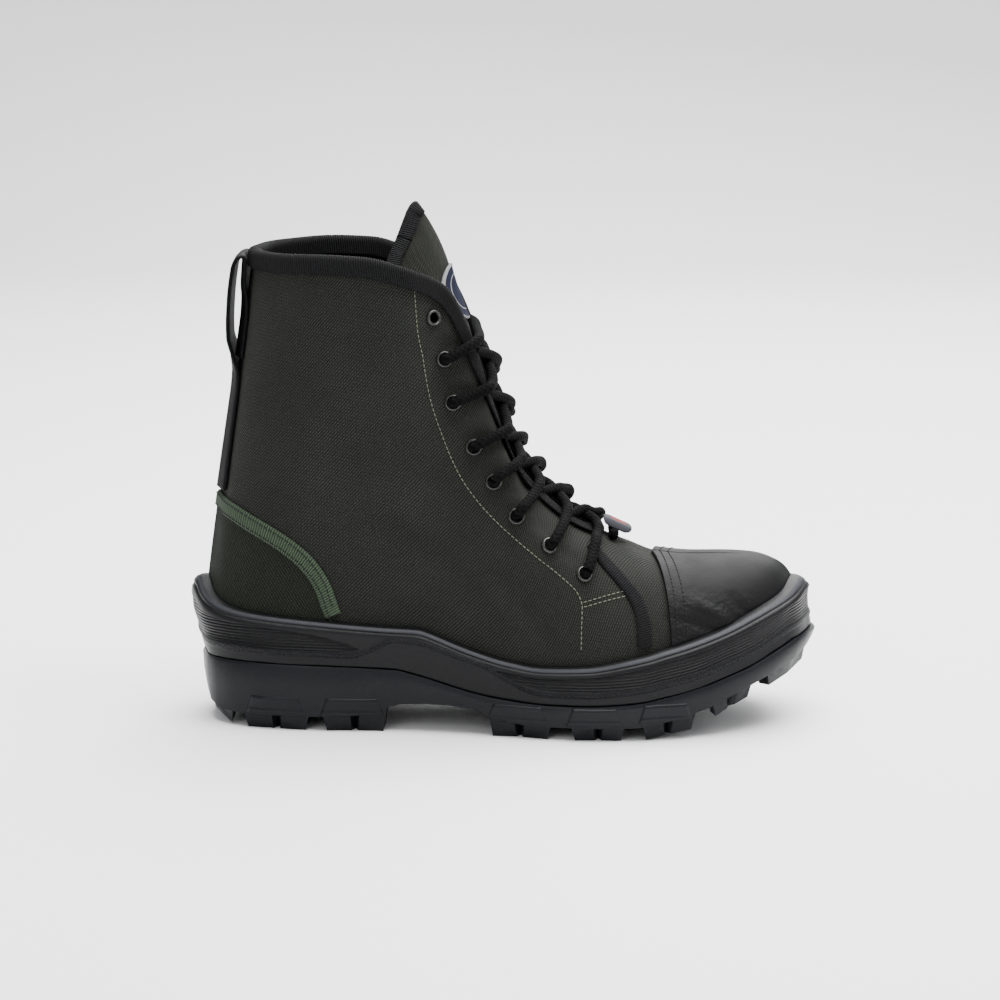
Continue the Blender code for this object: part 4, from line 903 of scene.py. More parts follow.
@dataclass(frozen=True)
class Rubber(Finish):
    """Moulded rubber: satin skin, with fluted panels and a hatched band by mask, and a painted highlight on
    the lip's crown and on the hatched band's beads.
    """

    patterned: bool = False
    flute: float = 1.5 * MM

    def material(self) -> bpy.types.Material:
        """Build the material.

        Returns:
            The material.
        """
        material, w, shader = self.start()
        uv, place = self.pattern(w)
        skin = w.noise(place, 700.0, 3.0, 0.6)
        height = w.math("MULTIPLY", skin, 0.12)
        colour = w.blend(w.noise(place, 40.0, 4.0, 0.6), self.colour,
                         tuple(min(1.0, 1.5 * c) for c in self.colour[:3]) + (1.0,))
        if self.patterned:
            split = w.add("ShaderNodeSeparateXYZ", uv).outputs
            panel = w.add("ShaderNodeAttribute", attribute_name="panel").outputs["Fac"]
            hatch = w.add("ShaderNodeAttribute", attribute_name="hatch").outputs["Fac"]
            # lip: mask of the painted highlight along the crown of the rand's lip
            lip = w.add("ShaderNodeAttribute", attribute_name="lip").outputs["Fac"]
            flutes = w.wave(split[1], self.flute)
            beads = w.math("MULTIPLY", w.wave(w.math("ADD", split[0], split[1]), 1.3 * MM),
                           w.wave(w.math("SUBTRACT", split[0], split[1]), 1.3 * MM))
            height = w.math("ADD", height, w.math("MULTIPLY", panel, flutes))
            height = w.math("ADD", height, w.math("MULTIPLY", hatch, w.math("MULTIPLY", beads, 1.2)))
            # Painted highlight: the lip's crown and the tops of the hatched band's beads are lightened
            # towards pale grey
            light = w.math("MULTIPLY", w.math("ADD", lip, w.math("MULTIPLY", hatch, beads)), 0.95)
            colour = w.blend(light, colour, linear(46, 47, 52))
        rough = w.math("MULTIPLY_ADD", skin, 0.2, self.rough - 0.1)
        self.finish(w, shader, place, colour, height, rough)
        return material


@dataclass(frozen=True)
class Braid(Finish):
    """Round braided lace: two families of slanted strands crossing over."""

    thread: tuple = (0.1, 0.1, 0.1, 1.0)
    pitch: float = 2.6 * MM

    def material(self) -> bpy.types.Material:
        """Build the material.

        Returns:
            The material.
        """
        material, w, shader = self.start()
        uv, place = self.pattern(w)
        split = w.add("ShaderNodeSeparateXYZ", uv).outputs
        turns = w.math("MULTIPLY", split[1], 4.0)
        left = w.wave(split[0], self.pitch, turns)
        right = w.wave(split[0], self.pitch, w.math("MULTIPLY", turns, -1.0))
        strands = w.math("MAXIMUM", left, right)
        fuzz = w.noise(place, 4000.0, 2.0)
        tone = w.math("MULTIPLY", w.math("POWER", strands, 3.0), w.math("MULTIPLY_ADD", fuzz, 0.8, 0.2))
        self.finish(w, shader, place, w.blend(tone, self.colour, self.thread), strands)
        return material


@dataclass(frozen=True)
class Lacquer(Finish):
    """Black lacquered metal, worn a little paler in specks."""

    def material(self) -> bpy.types.Material:
        """Build the material.

        Returns:
            The material.
        """
        material, w, shader = self.start()
        _, place = self.pattern(w)
        wear = w.noise(place, 600.0, 3.0, 0.7)
        colour = w.blend(w.math("POWER", wear, 3.0), self.colour, linear(60, 58, 54))
        self.finish(w, shader, place, colour, wear, w.math("MULTIPLY_ADD", wear, 0.25, self.rough))
        return material


@dataclass(frozen=True)
class Woven(Finish):
    """Woven patch: a ground with pale rings at named radii, for a round or oval face."""

    thread: tuple = (0.6, 0.6, 0.6, 1.0)
    rings: tuple = ((0.9, 1.0),)
    squash: float = 1.0

    def material(self) -> bpy.types.Material:
        """Build the material: ring masks from the distance to the middle of the pattern.

        Returns:
            The material.
        """
        material, w, shader = self.start()
        uv, place = self.pattern(w)
        split = w.add("ShaderNodeSeparateXYZ", uv).outputs
        far = w.math("SQRT", w.math("ADD", w.math("POWER", split[0], 2.0),
                                    w.math("POWER", w.math("MULTIPLY", split[1], self.squash), 2.0)))
        mask = None
        for low, high in self.rings:
            inside = w.math("MULTIPLY", w.math("GREATER_THAN", far, low), w.math("LESS_THAN", far, high))
            mask = inside if mask is None else w.math("MAXIMUM", mask, inside)
        stitch = w.math("MULTIPLY", w.wave(split[0], 0.07), w.wave(split[1], 0.05))
        colour = w.blend(w.math("MULTIPLY", mask, w.math("MULTIPLY_ADD", stitch, 0.5, 0.5)), self.colour,
                         self.thread)
        self.finish(w, shader, place, colour, w.math("MULTIPLY_ADD", mask, 0.8, stitch))
        return material


@dataclass(frozen=True)
class Plain(Finish):
    """Matt surface with fine unevenness, for thread, lining and floor."""

    def material(self) -> bpy.types.Material:
        """Build the material.

        Returns:
            The material.
        """
        material, w, shader = self.start()
        _, place = self.pattern(w)
        fine = w.noise(place, 2400.0, 2.0, 0.6)
        dark = tuple(0.7 * c for c in self.colour[:3]) + (1.0,)
        self.finish(w, shader, place, w.blend(fine, dark, self.colour), fine)
        return material


FINISHES = {
    "quarter": Canvas("quarter canvas", linear(9, 10, 8), 0.9, 0.02, relief=0.34 * MM, dust=0.025,
                      thread=linear(43, 45, 39)),
    "counter": Canvas("counter canvas", linear(6, 8, 5), 0.9, 0.01, relief=0.36 * MM, dust=0.015,
                      thread=linear(34, 41, 29), angle=-52.0, pitch=1.3 * MM),
    "tongue": Canvas("tongue canvas", linear(10, 12, 8), 0.9, 0.02, relief=0.32 * MM, dust=0.02,
                     thread=linear(40, 42, 34)),
    "green tape": Tape("green tape", linear(18, 28, 18), 0.85, 0.02, relief=0.4 * MM, dust=0.03,
                       thread=linear(66, 80, 62), pitch=1.25 * MM),
    "black tape": Tape("black tape", linear(2, 2, 3), 0.85, 0.0, relief=0.8 * MM, dust=0.008,
                       thread=linear(20, 20, 22)),
    "cap leather": Leather("cap leather", linear(4, 4, 5), 0.62, coat=0.0, relief=0.3 * MM, dust=0.006,
                           shine=0.13,
                           wrinkled=True),
    "strap leather": Leather("strap leather", linear(3, 3, 4), 0.75, coat=0.0, relief=0.3 * MM, dust=0.008,
                             shine=0.08),
    # patterned: painted highlight on the lip's crown and on the hatched band's beads
    "rand rubber": Rubber("rand rubber", linear(4, 4, 6), 0.46, relief=0.9 * MM, dust=0.008, shine=0.16,
                          patterned=True),
    "sole rubber": Rubber("sole rubber", linear(3, 4, 8), 0.42, relief=0.2 * MM, dust=0.015, shine=0.16),
    "lace braid": Braid("lace braid", linear(1, 1, 2), 0.85, 0.0, relief=0.35 * MM, dust=0.01,
                        thread=linear(9, 9, 10), shine=0.04),
    "lacquer": Lacquer("black lacquer", linear(5, 5, 5), 0.3, metal=0.2, coat=0.25, relief=0.03 * MM,
                       dust=0.01, shine=0.4),
    "thread": Plain("stitch thread", linear(92, 96, 82), 0.85, relief=0.08 * MM, dust=0.02),
    # bore: near-black, unshiny discs in the eyelet holes, painted shade
    "bore": Plain("painted eyelet shade", linear(1, 1, 1), 1.0, relief=0.05 * MM, dust=0.0, shine=0.0),
    "dark thread": Plain("dark thread", linear(26, 26, 27), 0.8, relief=0.08 * MM, dust=0.02),
    "lining": Plain("lining", linear(20, 20, 20), 0.95, relief=0.15 * MM, dust=0.02),
    "patch": Woven("plain patch", linear(7, 12, 34), 0.85, 0.0, relief=0.25 * MM, dust=0.02,
                   thread=linear(150, 150, 150), rings=((0.92, 1.0), (0.62, 0.66))),
    "tag": Woven("lace tag", linear(46, 47, 52), 0.6, relief=0.12 * MM, dust=0.03,
                 thread=linear(140, 12, 12), rings=((0.0, 0.6),), squash=1.35),
}


def finish_of(name: str) -> bpy.types.Material:
    """The material of a named finish, made when first asked for."""
    entry = FINISHES[name]
    return bpy.data.materials.get(entry.name) or entry.material()


def clipped(values: Array, low: Array, high: Array) -> Array:
    """Rows of shares spread evenly from low to high, one row for each rib."""
    return low[:, None] + (high - low)[:, None] * values[None, :]


@dataclass
class Stitching:
    """Rows of short thread stitches lying in the cloth along tracks."""

    last: Last
    pitch: float = 2.4 * MM
    radius: float = 0.32 * MM

    def along(self, name: str, tracks: Sequence[Array], finish: str, lift: float = 0.0) -> bpy.types.Object:
        """One object with a stitch at every pitch of every track.

        A stitch is a short bowed spindle: points of its length u and turn t at
        centre + half length * u * ahead + radius * (1 - u**4) * (cos * side + sin * out).

        Args:
            name: Name of the object.
            tracks: Arrays of ring and share along each row of stitches.
            finish: Name of the thread's finish.
            lift: Height of the thread over the skin.

        Returns:
            The object.
        """
        u = np.array([-1.0, -0.7, 0.0, 0.7, 1.0])
        t = np.linspace(0.0, 2.0 * math.pi, 6)[:-1]
        grids = []
        for track in tracks:
            dense = smooth_path(np.column_stack([track, self.last.skin(track[:, 0], track[:, 1])]),
                                400)[:, :2]
            line = self.last.skin(dense[:, 0], dense[:, 1], lift)
            reach = path_length(line)
            at = np.arange(0.5 * self.pitch, reach[-1], self.pitch)
            ring, share = (np.interp(at, reach, dense[:, k]) for k in (0, 1))
            centre = np.column_stack([np.interp(at, reach, line[:, k]) for k in range(3)])
            out = self.last.normal(ring, share)
            ahead = unit(np.column_stack([np.interp(at + 0.3 * MM, reach, line[:, k])
                                          - np.interp(at - 0.3 * MM, reach, line[:, k])
                                          for k in range(3)]))
            side = np.cross(out, ahead)
            swell = self.radius * (1.0 - 0.8 * u**4)
            body = centre[:, None, None] + 0.40 * self.pitch * u[None, :, None, None] * ahead[:, None, None]
            wide = np.cos(t)[None, None, :, None] * side[:, None, None]
            tall = 0.8 * np.sin(t)[None, None, :, None] * out[:, None, None]
            body = body + swell[None, :, None, None] * (wide + tall)
            body = body + (0.4 * swell)[None, :, None, None] * out[:, None, None]
            grids.append(body)
        points = np.concatenate(grids, axis=0)
        count, rows, turns = points.shape[:3]
        ids = np.arange(count * rows * turns).reshape(count, rows, turns)
        after = np.roll(ids, -1, axis=2)
        quads = np.stack([ids[:, :-1], after[:, :-1], after[:, 1:], ids[:, 1:]], -1).reshape(-1, 4)
        caps = [ids[:, 0, ::-1].tolist(), ids[:, -1].tolist()]
        mesh = bpy.data.meshes.new(name)
        mesh.from_pydata(points.reshape(-1, 3).tolist(), [], quads.tolist() + caps[0] + caps[1])
        mesh.shade_smooth()
        mesh.materials.append(finish_of(finish))
        made = bpy.data.objects.new(name, mesh)
        bpy.context.scene.collection.objects.link(made)
        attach(made, "root")
        LOG.info("%s: %d stitches", name, count)
        return made


@dataclass
class Strip:
    """A band of even width laid over the last along a track of ring and share."""

    last: Last
    track: Array
    width: float
    low: float
    high: float
    steps: int = 160

    def grid(self) -> tuple[Array, Array]:
        """Points and pattern coordinates of the closed band.

        Across the band the skin is stepped sideways along the cross product of
        its normal and the track, then looked up again on the last.

        Returns:
            Points and pattern coordinates.
        """
        centre = self.last.skin(self.track[:, 0], self.track[:, 1])
        even = smooth_path(np.column_stack([self.track, centre]), self.steps)[:, :2]
        line = self.last.skin(even[:, 0], even[:, 1])
        out = self.last.normal(even[:, 0], even[:, 1])
        ahead = unit(np.gradient(line, axis=0))
        across = unit(np.cross(out, ahead))
        step = 0.02
        by_ring = (self.last.point(even[:, 0] + step, even[:, 1])
                   - self.last.point(even[:, 0] - step, even[:, 1])) / (2 * step)
        low_share = np.clip(even[:, 1] - step, 0.0, 1.0)
        high_share = np.clip(even[:, 1] + step, 0.0, 1.0)
        by_share = (self.last.point(even[:, 0], high_share)
                    - self.last.point(even[:, 0], low_share)) / (high_share - low_share)[:, None]
        shift = across * 0.5 * self.width
        rr, rs, ss = (by_ring**2).sum(1), (by_ring * by_share).sum(1), (by_share**2).sum(1)
        tr, ts = (shift * by_ring).sum(1), (shift * by_share).sum(1)
        det = rr * ss - rs * rs
        d_ring, d_share = (tr * ss - ts * rs) / det, (ts * rr - tr * rs) / det
        u = np.linspace(-1.0, 1.0, 7)
        ring = even[:, :1] + d_ring[:, None] * u[None]
        share = np.clip(even[:, 1:] + d_share[:, None] * u[None], 0.0, 1.0)
        puff = self.high - 0.45 * (self.high - self.low) * np.abs(u)[None] ** 6
        outer = self.last.skin(ring, share, np.broadcast_to(puff, ring.shape))
        inner = self.last.skin(ring, share, self.low)
        reach = path_length(line)
        uv = pattern_of(reach, 0.5 * self.width * (u + 1.0))
        return closed_band(outer, inner, uv, False)

    def make(self, name: str, finish: str, *nodes: str) -> bpy.types.Object:
        """Build the band as a piece."""
        points, uv = self.grid()
        return piece([Sheet(name, points, uv)], name, finish_of(finish), *nodes)


FACING_LINE = ((-42, 215.4), (-41.5, 206), (-40.8, 193.6), (-38.4, 181.5), (-36.2, 167.4), (-33.9, 157),
               (-29.9, 145),
               (-25.3, 133.3), (-19.2, 121.4), (-11.2, 110.8), (-4.3, 103.6), (4.4, 95.9), (14.9, 87.2),
               (27.9, 76.8), (35.3, 69.2), (37.2, 63.6), (37, 55), (36.8, 43))


@dataclass
class Upper:
    """Canvas upper of one wall, its counter, tapes, binding and back strap."""

    last: Last
    wall: float = 2.2 * MM
    cap_from: float = 13.0
    cap_thick: float = 1.7 * MM
    counter_thick: float = 1.2 * MM
    tape_width: float = 8.0 * MM
    tape_thick: float = 1.3 * MM
    binding_width: float = 6.6 * MM
    binding_thick: float = 1.0 * MM
    binding_gap: float = 1.05 * MM
    strap_half: float = 13.0 * MM
    strap_thick: float = 2.0 * MM
    loop_slit: float = 3.3 * MM
    tape_line: tuple = ((0.028, 0.468), (0.052, 0.460), (0.085, 0.441), (0.120, 0.418), (0.152, 0.393),
                        (0.178, 0.366), (0.198, 0.335), (0.212, 0.302), (0.221, 0.268), (0.227, 0.248))
    quarter_line: tuple = ((0.6585, 0.389), (0.686, 0.353), (0.711, 0.322), (0.729, 0.296), (0.741, 0.266),
                           (0.746, 0.232), (0.747, 0.197))
    strap_line: tuple = ((0.496, 0.00), (0.560, 0.00), (0.630, 0.00), (0.700, 0.00), (0.742, 0.06),
                         (0.780, 0.36),
                         (0.830, 0.78), (0.880, 0.98), (0.930, 1.06), (0.968, 1.02), (0.990, 0.78),
                         (0.996, 0.46),
                         (0.985, 0.36), (0.965, 0.33), (0.935, 0.27), (0.900, 0.08), (0.860, 0.00),
                         (0.815, 0.00),
                         (0.780, 0.00))

    def side_track(self, line: Sequence, side: Side) -> Array:
        """Ring and share along a side-view line given as shares of length and collar height.

        Args:
            line: Rows of x share and height share.
            side: Side of the boot.

        Returns:
            Rows of ring and share.
        """
        rows = np.array(line)
        spots = np.column_stack([self.last.heel_back + rows[:, 0] * self.last.length,
                                 rows[:, 1] * self.last.collar_height]) / MM
        return self.last.locate(smooth_path(spots, 40), side)

    def counter_track(self) -> Array:
        """Ring and share of the green tape from the inner side round the heel to the outer.

        Returns:
            Rows of ring and share.
        """
        outer = self.side_track(self.tape_line, Side.OUTER)[2:]
        inner = self.side_track(self.tape_line, Side.INNER)[2:][::-1]
        inner[:, 0] -= 2.0 * self.last.stations
        seam = self.last.share_at(np.zeros(1), self.tape_line[0][1] * self.last.collar_height)
        return np.vstack([inner, [[0.0, seam[0]]], outer])

    def body(self) -> bpy.types.Object:
        """The canvas wall: outer face, edge and lining face, closed under the footbed.

        Returns:
            The piece.
        """
        ring = np.linspace(0.0, 2.0 * self.last.stations, 341)
        share = np.concatenate([np.linspace(0.0, 0.9, 72), np.linspace(0.91, 1.0, 12)])
        outer = self.last.skin(ring[:, None], share[None, :])
        inner = self.last.point(ring[:, None], share[None, :]) - self.last.normal(ring[:, None],
                                                                                  share[None, :]) * self.wall
        inner[..., 2] = np.maximum(inner[..., 2], outer[:, :1, 2])
        ridge = (self.last.rib_value("half", ring) < 1e-9) & (np.abs(ring - 17.0) <= 5.0)
        outer[ridge, -1, 1] = self.last.shift[1]
        inner[ridge, -1, 1] = self.last.shift[1]
        outer[-1], inner[-1] = outer[0], inner[0]
        points, uv = closed_band(outer, inner, arc_uv(outer), True)
        return piece([Sheet("upper canvas", points, uv)], "upper_canvas", finish_of("quarter"), "upper")

    def panel(self, name: str, ring: Array, low: Array, high: Array, thick: float, finish: str,
              *nodes: str, masks: Callable[[Array], dict] | None = None) -> bpy.types.Object:
        """A panel of even thickness between two share lines over a span of ribs.

        Args:
            name: Name of the piece.
            ring: The ribs it spans.
            low: Share of its lower edge at each rib.
            high: Share of its upper edge at each rib.
            thick: Its thickness.
            finish: Name of its finish.
            nodes: CAD nodes it stands for.
            masks: Works out masks from the points.

        Returns:
            The piece.
        """
        share = clipped(np.linspace(0.0, 1.0, 60), low, high)
        edge = np.minimum(np.linspace(0.0, 1.0, 60), np.linspace(1.0, 0.0, 60))[None]
        roll = 1.0 - 0.5 * np.exp(-(edge / 0.012) ** 2)
        outer = self.last.skin(ring[:, None], share, self.last.clear + thick * roll)
        inner = self.last.skin(ring[:, None], share, self.last.clear)
        points, uv = closed_band(outer, inner, arc_uv(outer), False)
        made = masks(points) if masks else {}
        return piece([Sheet(name, points, uv, made)], name, finish_of(finish), *nodes)

    def toe_cap(self) -> bpy.types.Object:
        """Leather cap over the toe, wrinkled low on its sides.

        Returns:
            The piece.
        """
        ring = np.linspace(self.cap_from, 2.0 * self.last.stations - self.cap_from, 221)
        foot = self.last.point(ring, np.zeros(len(ring)))[:, 0] - self.last.shift[0]
        low = self.last.share_at(ring, self.last.level("rand", foot) - 1.0 * MM)

        def wrinkle(points: Array) -> dict[str, Array]:
            """Wrinkled low down and towards the rear edge of the cap.

            Args:
                points: Points of the cap.

            Returns:
                The wrinkle mask under its name.
            """
            x, z = (points[..., 0] - self.last.shift[0]) / MM, points[..., 2] / MM
            low_down = 1.0 / (1.0 + np.exp((z - 68.0 + 0.12 * (x - 90.0)) / 3.0))
            return {"wrinkle": low_down * (0.4 + 0.6 / (1.0 + np.exp((x - 122.0) / 6.0)))}

        return self.panel("toe_cap_leather", ring, low, np.ones(len(ring)), self.cap_thick, "cap leather",
                          "toe_cap",
                          masks=wrinkle)

    def counter(self) -> bpy.types.Object:
        """Dark canvas counter from the rand up under the green tape.

        Returns:
            The piece.
        """
        track = self.counter_track()
        ring = np.linspace(track[0, 0] + 0.03, track[-1, 0] - 0.03, 161)
        high = np.interp(ring, track[:, 0], track[:, 1])
        foot = self.last.point(ring, np.zeros(len(ring)))[:, 0] - self.last.shift[0]
        low = np.minimum(self.last.share_at(ring, self.last.level("rand", foot) - 1.0 * MM), high - 0.01)
        return self.panel("heel_counter_canvas", ring, low, high, self.counter_thick * 0.45, "counter",
                          "heel_counter")

    def tapes(self) -> None:
        """Green tape over the counter's top and black tapes from the throat to the rand."""
        track = self.counter_track()
        Strip(self.last, track, self.tape_width, 0.5 * self.last.clear,
              2.0 * self.last.clear + self.tape_thick, 260).make(
            "green_tape", "green tape", "counter_tape")
        for side, name in ((Side.OUTER, "outer"), (Side.INNER, "inner")):
            Strip(self.last, self.side_track(self.quarter_line, side), self.binding_width,
                  0.5 * self.last.clear,
                  1.6 * self.last.clear + self.binding_thick, 90).make(
                      "black_tape_" + name, "black tape", "quarter_tape_" + name)

    def binding(self) -> bpy.types.Object:
        """Tape folded over the edge of collar and throat.

        Its section is a hairpin round the edge: points at width w down the
        outer face, round over the edge, and down the inner face.

        Returns:
            The piece.
        """
        ring = np.linspace(-11.25, 11.25, 420)
        edge = self.last.point(ring, 1.0)
        ahead = unit(np.gradient(edge, axis=0))
        out = self.last.normal(ring, np.ones(len(ring)))
        reach = (self.last.point(ring, 0.97) - edge) / 0.03
        inward = unit(reach)
        square = np.linalg.norm(np.cross(reach, ahead), axis=1)
        kernel = np.ones(21) / 21.0
        tips = self.binding_width / np.convolve(np.pad(square, 10, mode="edge"), kernel, mode="valid")
        away = np.cross(ahead, out)
        away *= -np.sign(np.sum(away * inward, axis=1))[:, None]
        thick = self.binding_gap + self.binding_thick
        shares = 1.0 - tips[:, None] * np.linspace(1.0, 0.0, 8)[None]
        faces = {}
        for label, near, far in (("outer", self.binding_gap, thick),
                                 ("inner", -self.wall - self.binding_gap, -self.wall - thick)):
            for part, lift in (("near", near), ("far", far)):
                base = self.last.point(ring[:, None], shares)
                faces[label, part] = base + self.last.normal(ring[:, None], shares) * lift
        middle = edge - out * 0.5 * self.wall
        bend = np.linspace(0.0, math.pi, 9)[1:-1]
        span = 0.5 * self.wall + thick
        over = middle[:, None] + span * (np.cos(bend)[None, :, None] * out[:, None] + 0.9
                                         * np.sin(bend)[None, :, None] * away[:, None])
        line = np.concatenate([faces["outer", "far"], over, faces["inner", "far"][:, ::-1]], axis=1)
        back = np.concatenate([faces["outer", "near"], middle[:, None] + 0.3 * (over - middle[:, None]),
                               faces["inner", "near"][:, ::-1]], axis=1)
        run = path_length(edge)
        down = np.linspace(0.0, 2.6 * self.binding_width, line.shape[1])
        uv = pattern_of(run, down)
        points, pattern = closed_band(line, back, uv, False)
        return piece([Sheet("binding", points, pattern)], "edge_binding_tape", finish_of("black tape"),
                     "edge_binding")

    def back_strap(self) -> bpy.types.Object:
        """Leather strip up the back seam, out into the pull loop and down again.

        Each cross line sits level off the shaft by the strip's own offset and
        is straightened where it hangs free.

        Returns:
            The piece.
        """
        reach = self.loop_slit + self.strap_thick + 1.2 * MM
        rows = smooth_path([(high * self.last.collar_height, off * reach) for high, off in self.strap_line],
                           150)
        z, off = rows[:, 0], rows[:, 1]
        lean = unit(np.gradient(rows[:, ::-1], axis=0))
        share = self.last.share_at(np.zeros(len(z)), np.minimum(z, 0.9995 * self.last.collar_height))
        rings = np.linspace(-2.2, 2.2, 121)
        widths = self.last.point(rings[None, :], share[:, None])[..., 1] - self.last.shift[1]
        u = np.linspace(-1.0, 1.0, 15)
        ring = np.array([np.interp(-u * self.strap_half, -w, rings) for w in widths])
        seat = self.last.point(ring, share[:, None])
        level_out = unit(self.last.normal(ring, share[:, None]) * np.array([1.0, 1.0, 0.0]))
        centre = seat + level_out * (self.last.clear + 0.5 * self.strap_thick + off)[:, None, None]
        centre[..., 2] = z[:, None]
        stiff = np.clip(off / (0.7 * reach), 0.0, 1.0)[:, None]
        centre[..., 0] += 0.9 * stiff * (centre[:, 7:8, 0] - centre[..., 0])
        turn = unit(level_out * lean[:, 1][:, None, None] - np.array([0.0, 0.0, 1.0])
                    * lean[:, 0][:, None, None])
        half = 0.5 * self.strap_thick * (1.0 - 0.4 * np.abs(u) ** 8)[None, :, None]
        outer, inner = centre + turn * half, centre - turn * half
        points, uv = closed_band(outer, inner, arc_uv(outer), False)
        return piece([Sheet("strap", points, uv)], "back_strap_leather", finish_of("strap leather"),
                     "back_strap")

    def seams(self) -> None:
        """Thread rows: facing, vamp, counter tape and cap edge."""
        stitches = Stitching(self.last)
        pale, dark = [], []
        for side in Side:
            facing = self.last.locate(smooth_path(FACING_LINE, 90), side)
            pale.append(facing)
            branch = self.last.locate(smooth_path([(37.5, 65.5), (50.0, 68.4), (61.0, 70.2)], 20), side)
            pale.append(branch)
            pale.append(self.last.locate(smooth_path([(37.6, 63.4), (50.0, 66.2), (61.0, 68.0)], 20), side))
        track = self.counter_track()
        rise = np.gradient(track[:, 1])
        lengths = 0.5 * (self.tape_width - 1.8 * MM) / (0.9 * self.last.collar_height)
        steep = np.sqrt(1.0 + (rise / np.maximum(np.gradient(track[:, 0]), 1e-3) * 3.2) ** 2)
        for sign in (-1.0, 1.0):
            dark.append(np.column_stack([track[:, 0], track[:, 1] + sign * lengths * steep]))
        for ahead in (0.22, 0.44):
            ring = np.full(60, self.cap_from + ahead)
            foot = self.last.point(ring[:1], np.zeros(1))[:, 0] - self.last.shift[0]
            low = self.last.share_at(ring[:1], self.last.level("rand", foot) + 2.0 * MM)[0]
            for value in (ring, 2.0 * self.last.stations - ring):
                dark.append(np.column_stack([value, np.linspace(low, 0.999, 60)]))
        stitches.along("facing_stitches", pale, "thread", 0.1 * MM)
        stitches.along("tape_stitches", dark[:2], "dark thread", 2.0 * self.last.clear + self.tape_thick)
        stitches.along("cap_stitches", dark[2:], "dark thread", self.last.clear + self.cap_thick)

    def build(self) -> None:
        """Build and dress every piece of the upper."""
        self.body()
        self.toe_cap()
        self.counter()
        self.tapes()
        self.binding()
        self.back_strap()
        self.seams()


def finer(grid: Array, rows: int, columns: int) -> Array:
    """A grid read at more rows and columns with smooth curves both ways.

    Args:
        grid: Grid of points.
        rows: Rows to read.
        columns: Columns to read.

    Returns:
        The finer grid.
    """
    names = tuple(str(i) for i in range(grid.shape[1] * 3))
    flat = smooth_table(grid.reshape(grid.shape[0], -1), names, None, np.linspace(0, grid.shape[0] - 1, rows))
    tall = np.stack([flat[n] for n in names], 1).reshape(rows, grid.shape[1], 3)
    turned = tall.transpose(1, 0, 2)
    names = tuple(str(i) for i in range(rows * 3))
    flat = smooth_table(turned.reshape(turned.shape[0], -1), names, None,
                        np.linspace(0, turned.shape[0] - 1, columns))
    return np.stack([flat[n] for n in names], 1).reshape(columns, rows, 3).transpose(1, 0, 2)


def grid_tree(grid: Array) -> BVHTree:
    """Search tree over the faces of a grid.

    Args:
        grid: Grid of points.

    Returns:
        The tree.
    """
    rows, columns = grid.shape[:2]
    faces = [(i * columns + j, i * columns + j + 1, (i + 1) * columns + j + 1, (i + 1) * columns + j)
             for i in range(rows - 1) for j in range(columns - 1)]
    return BVHTree.FromPolygons([Vector(p) for p in grid.reshape(-1, 3)], faces)


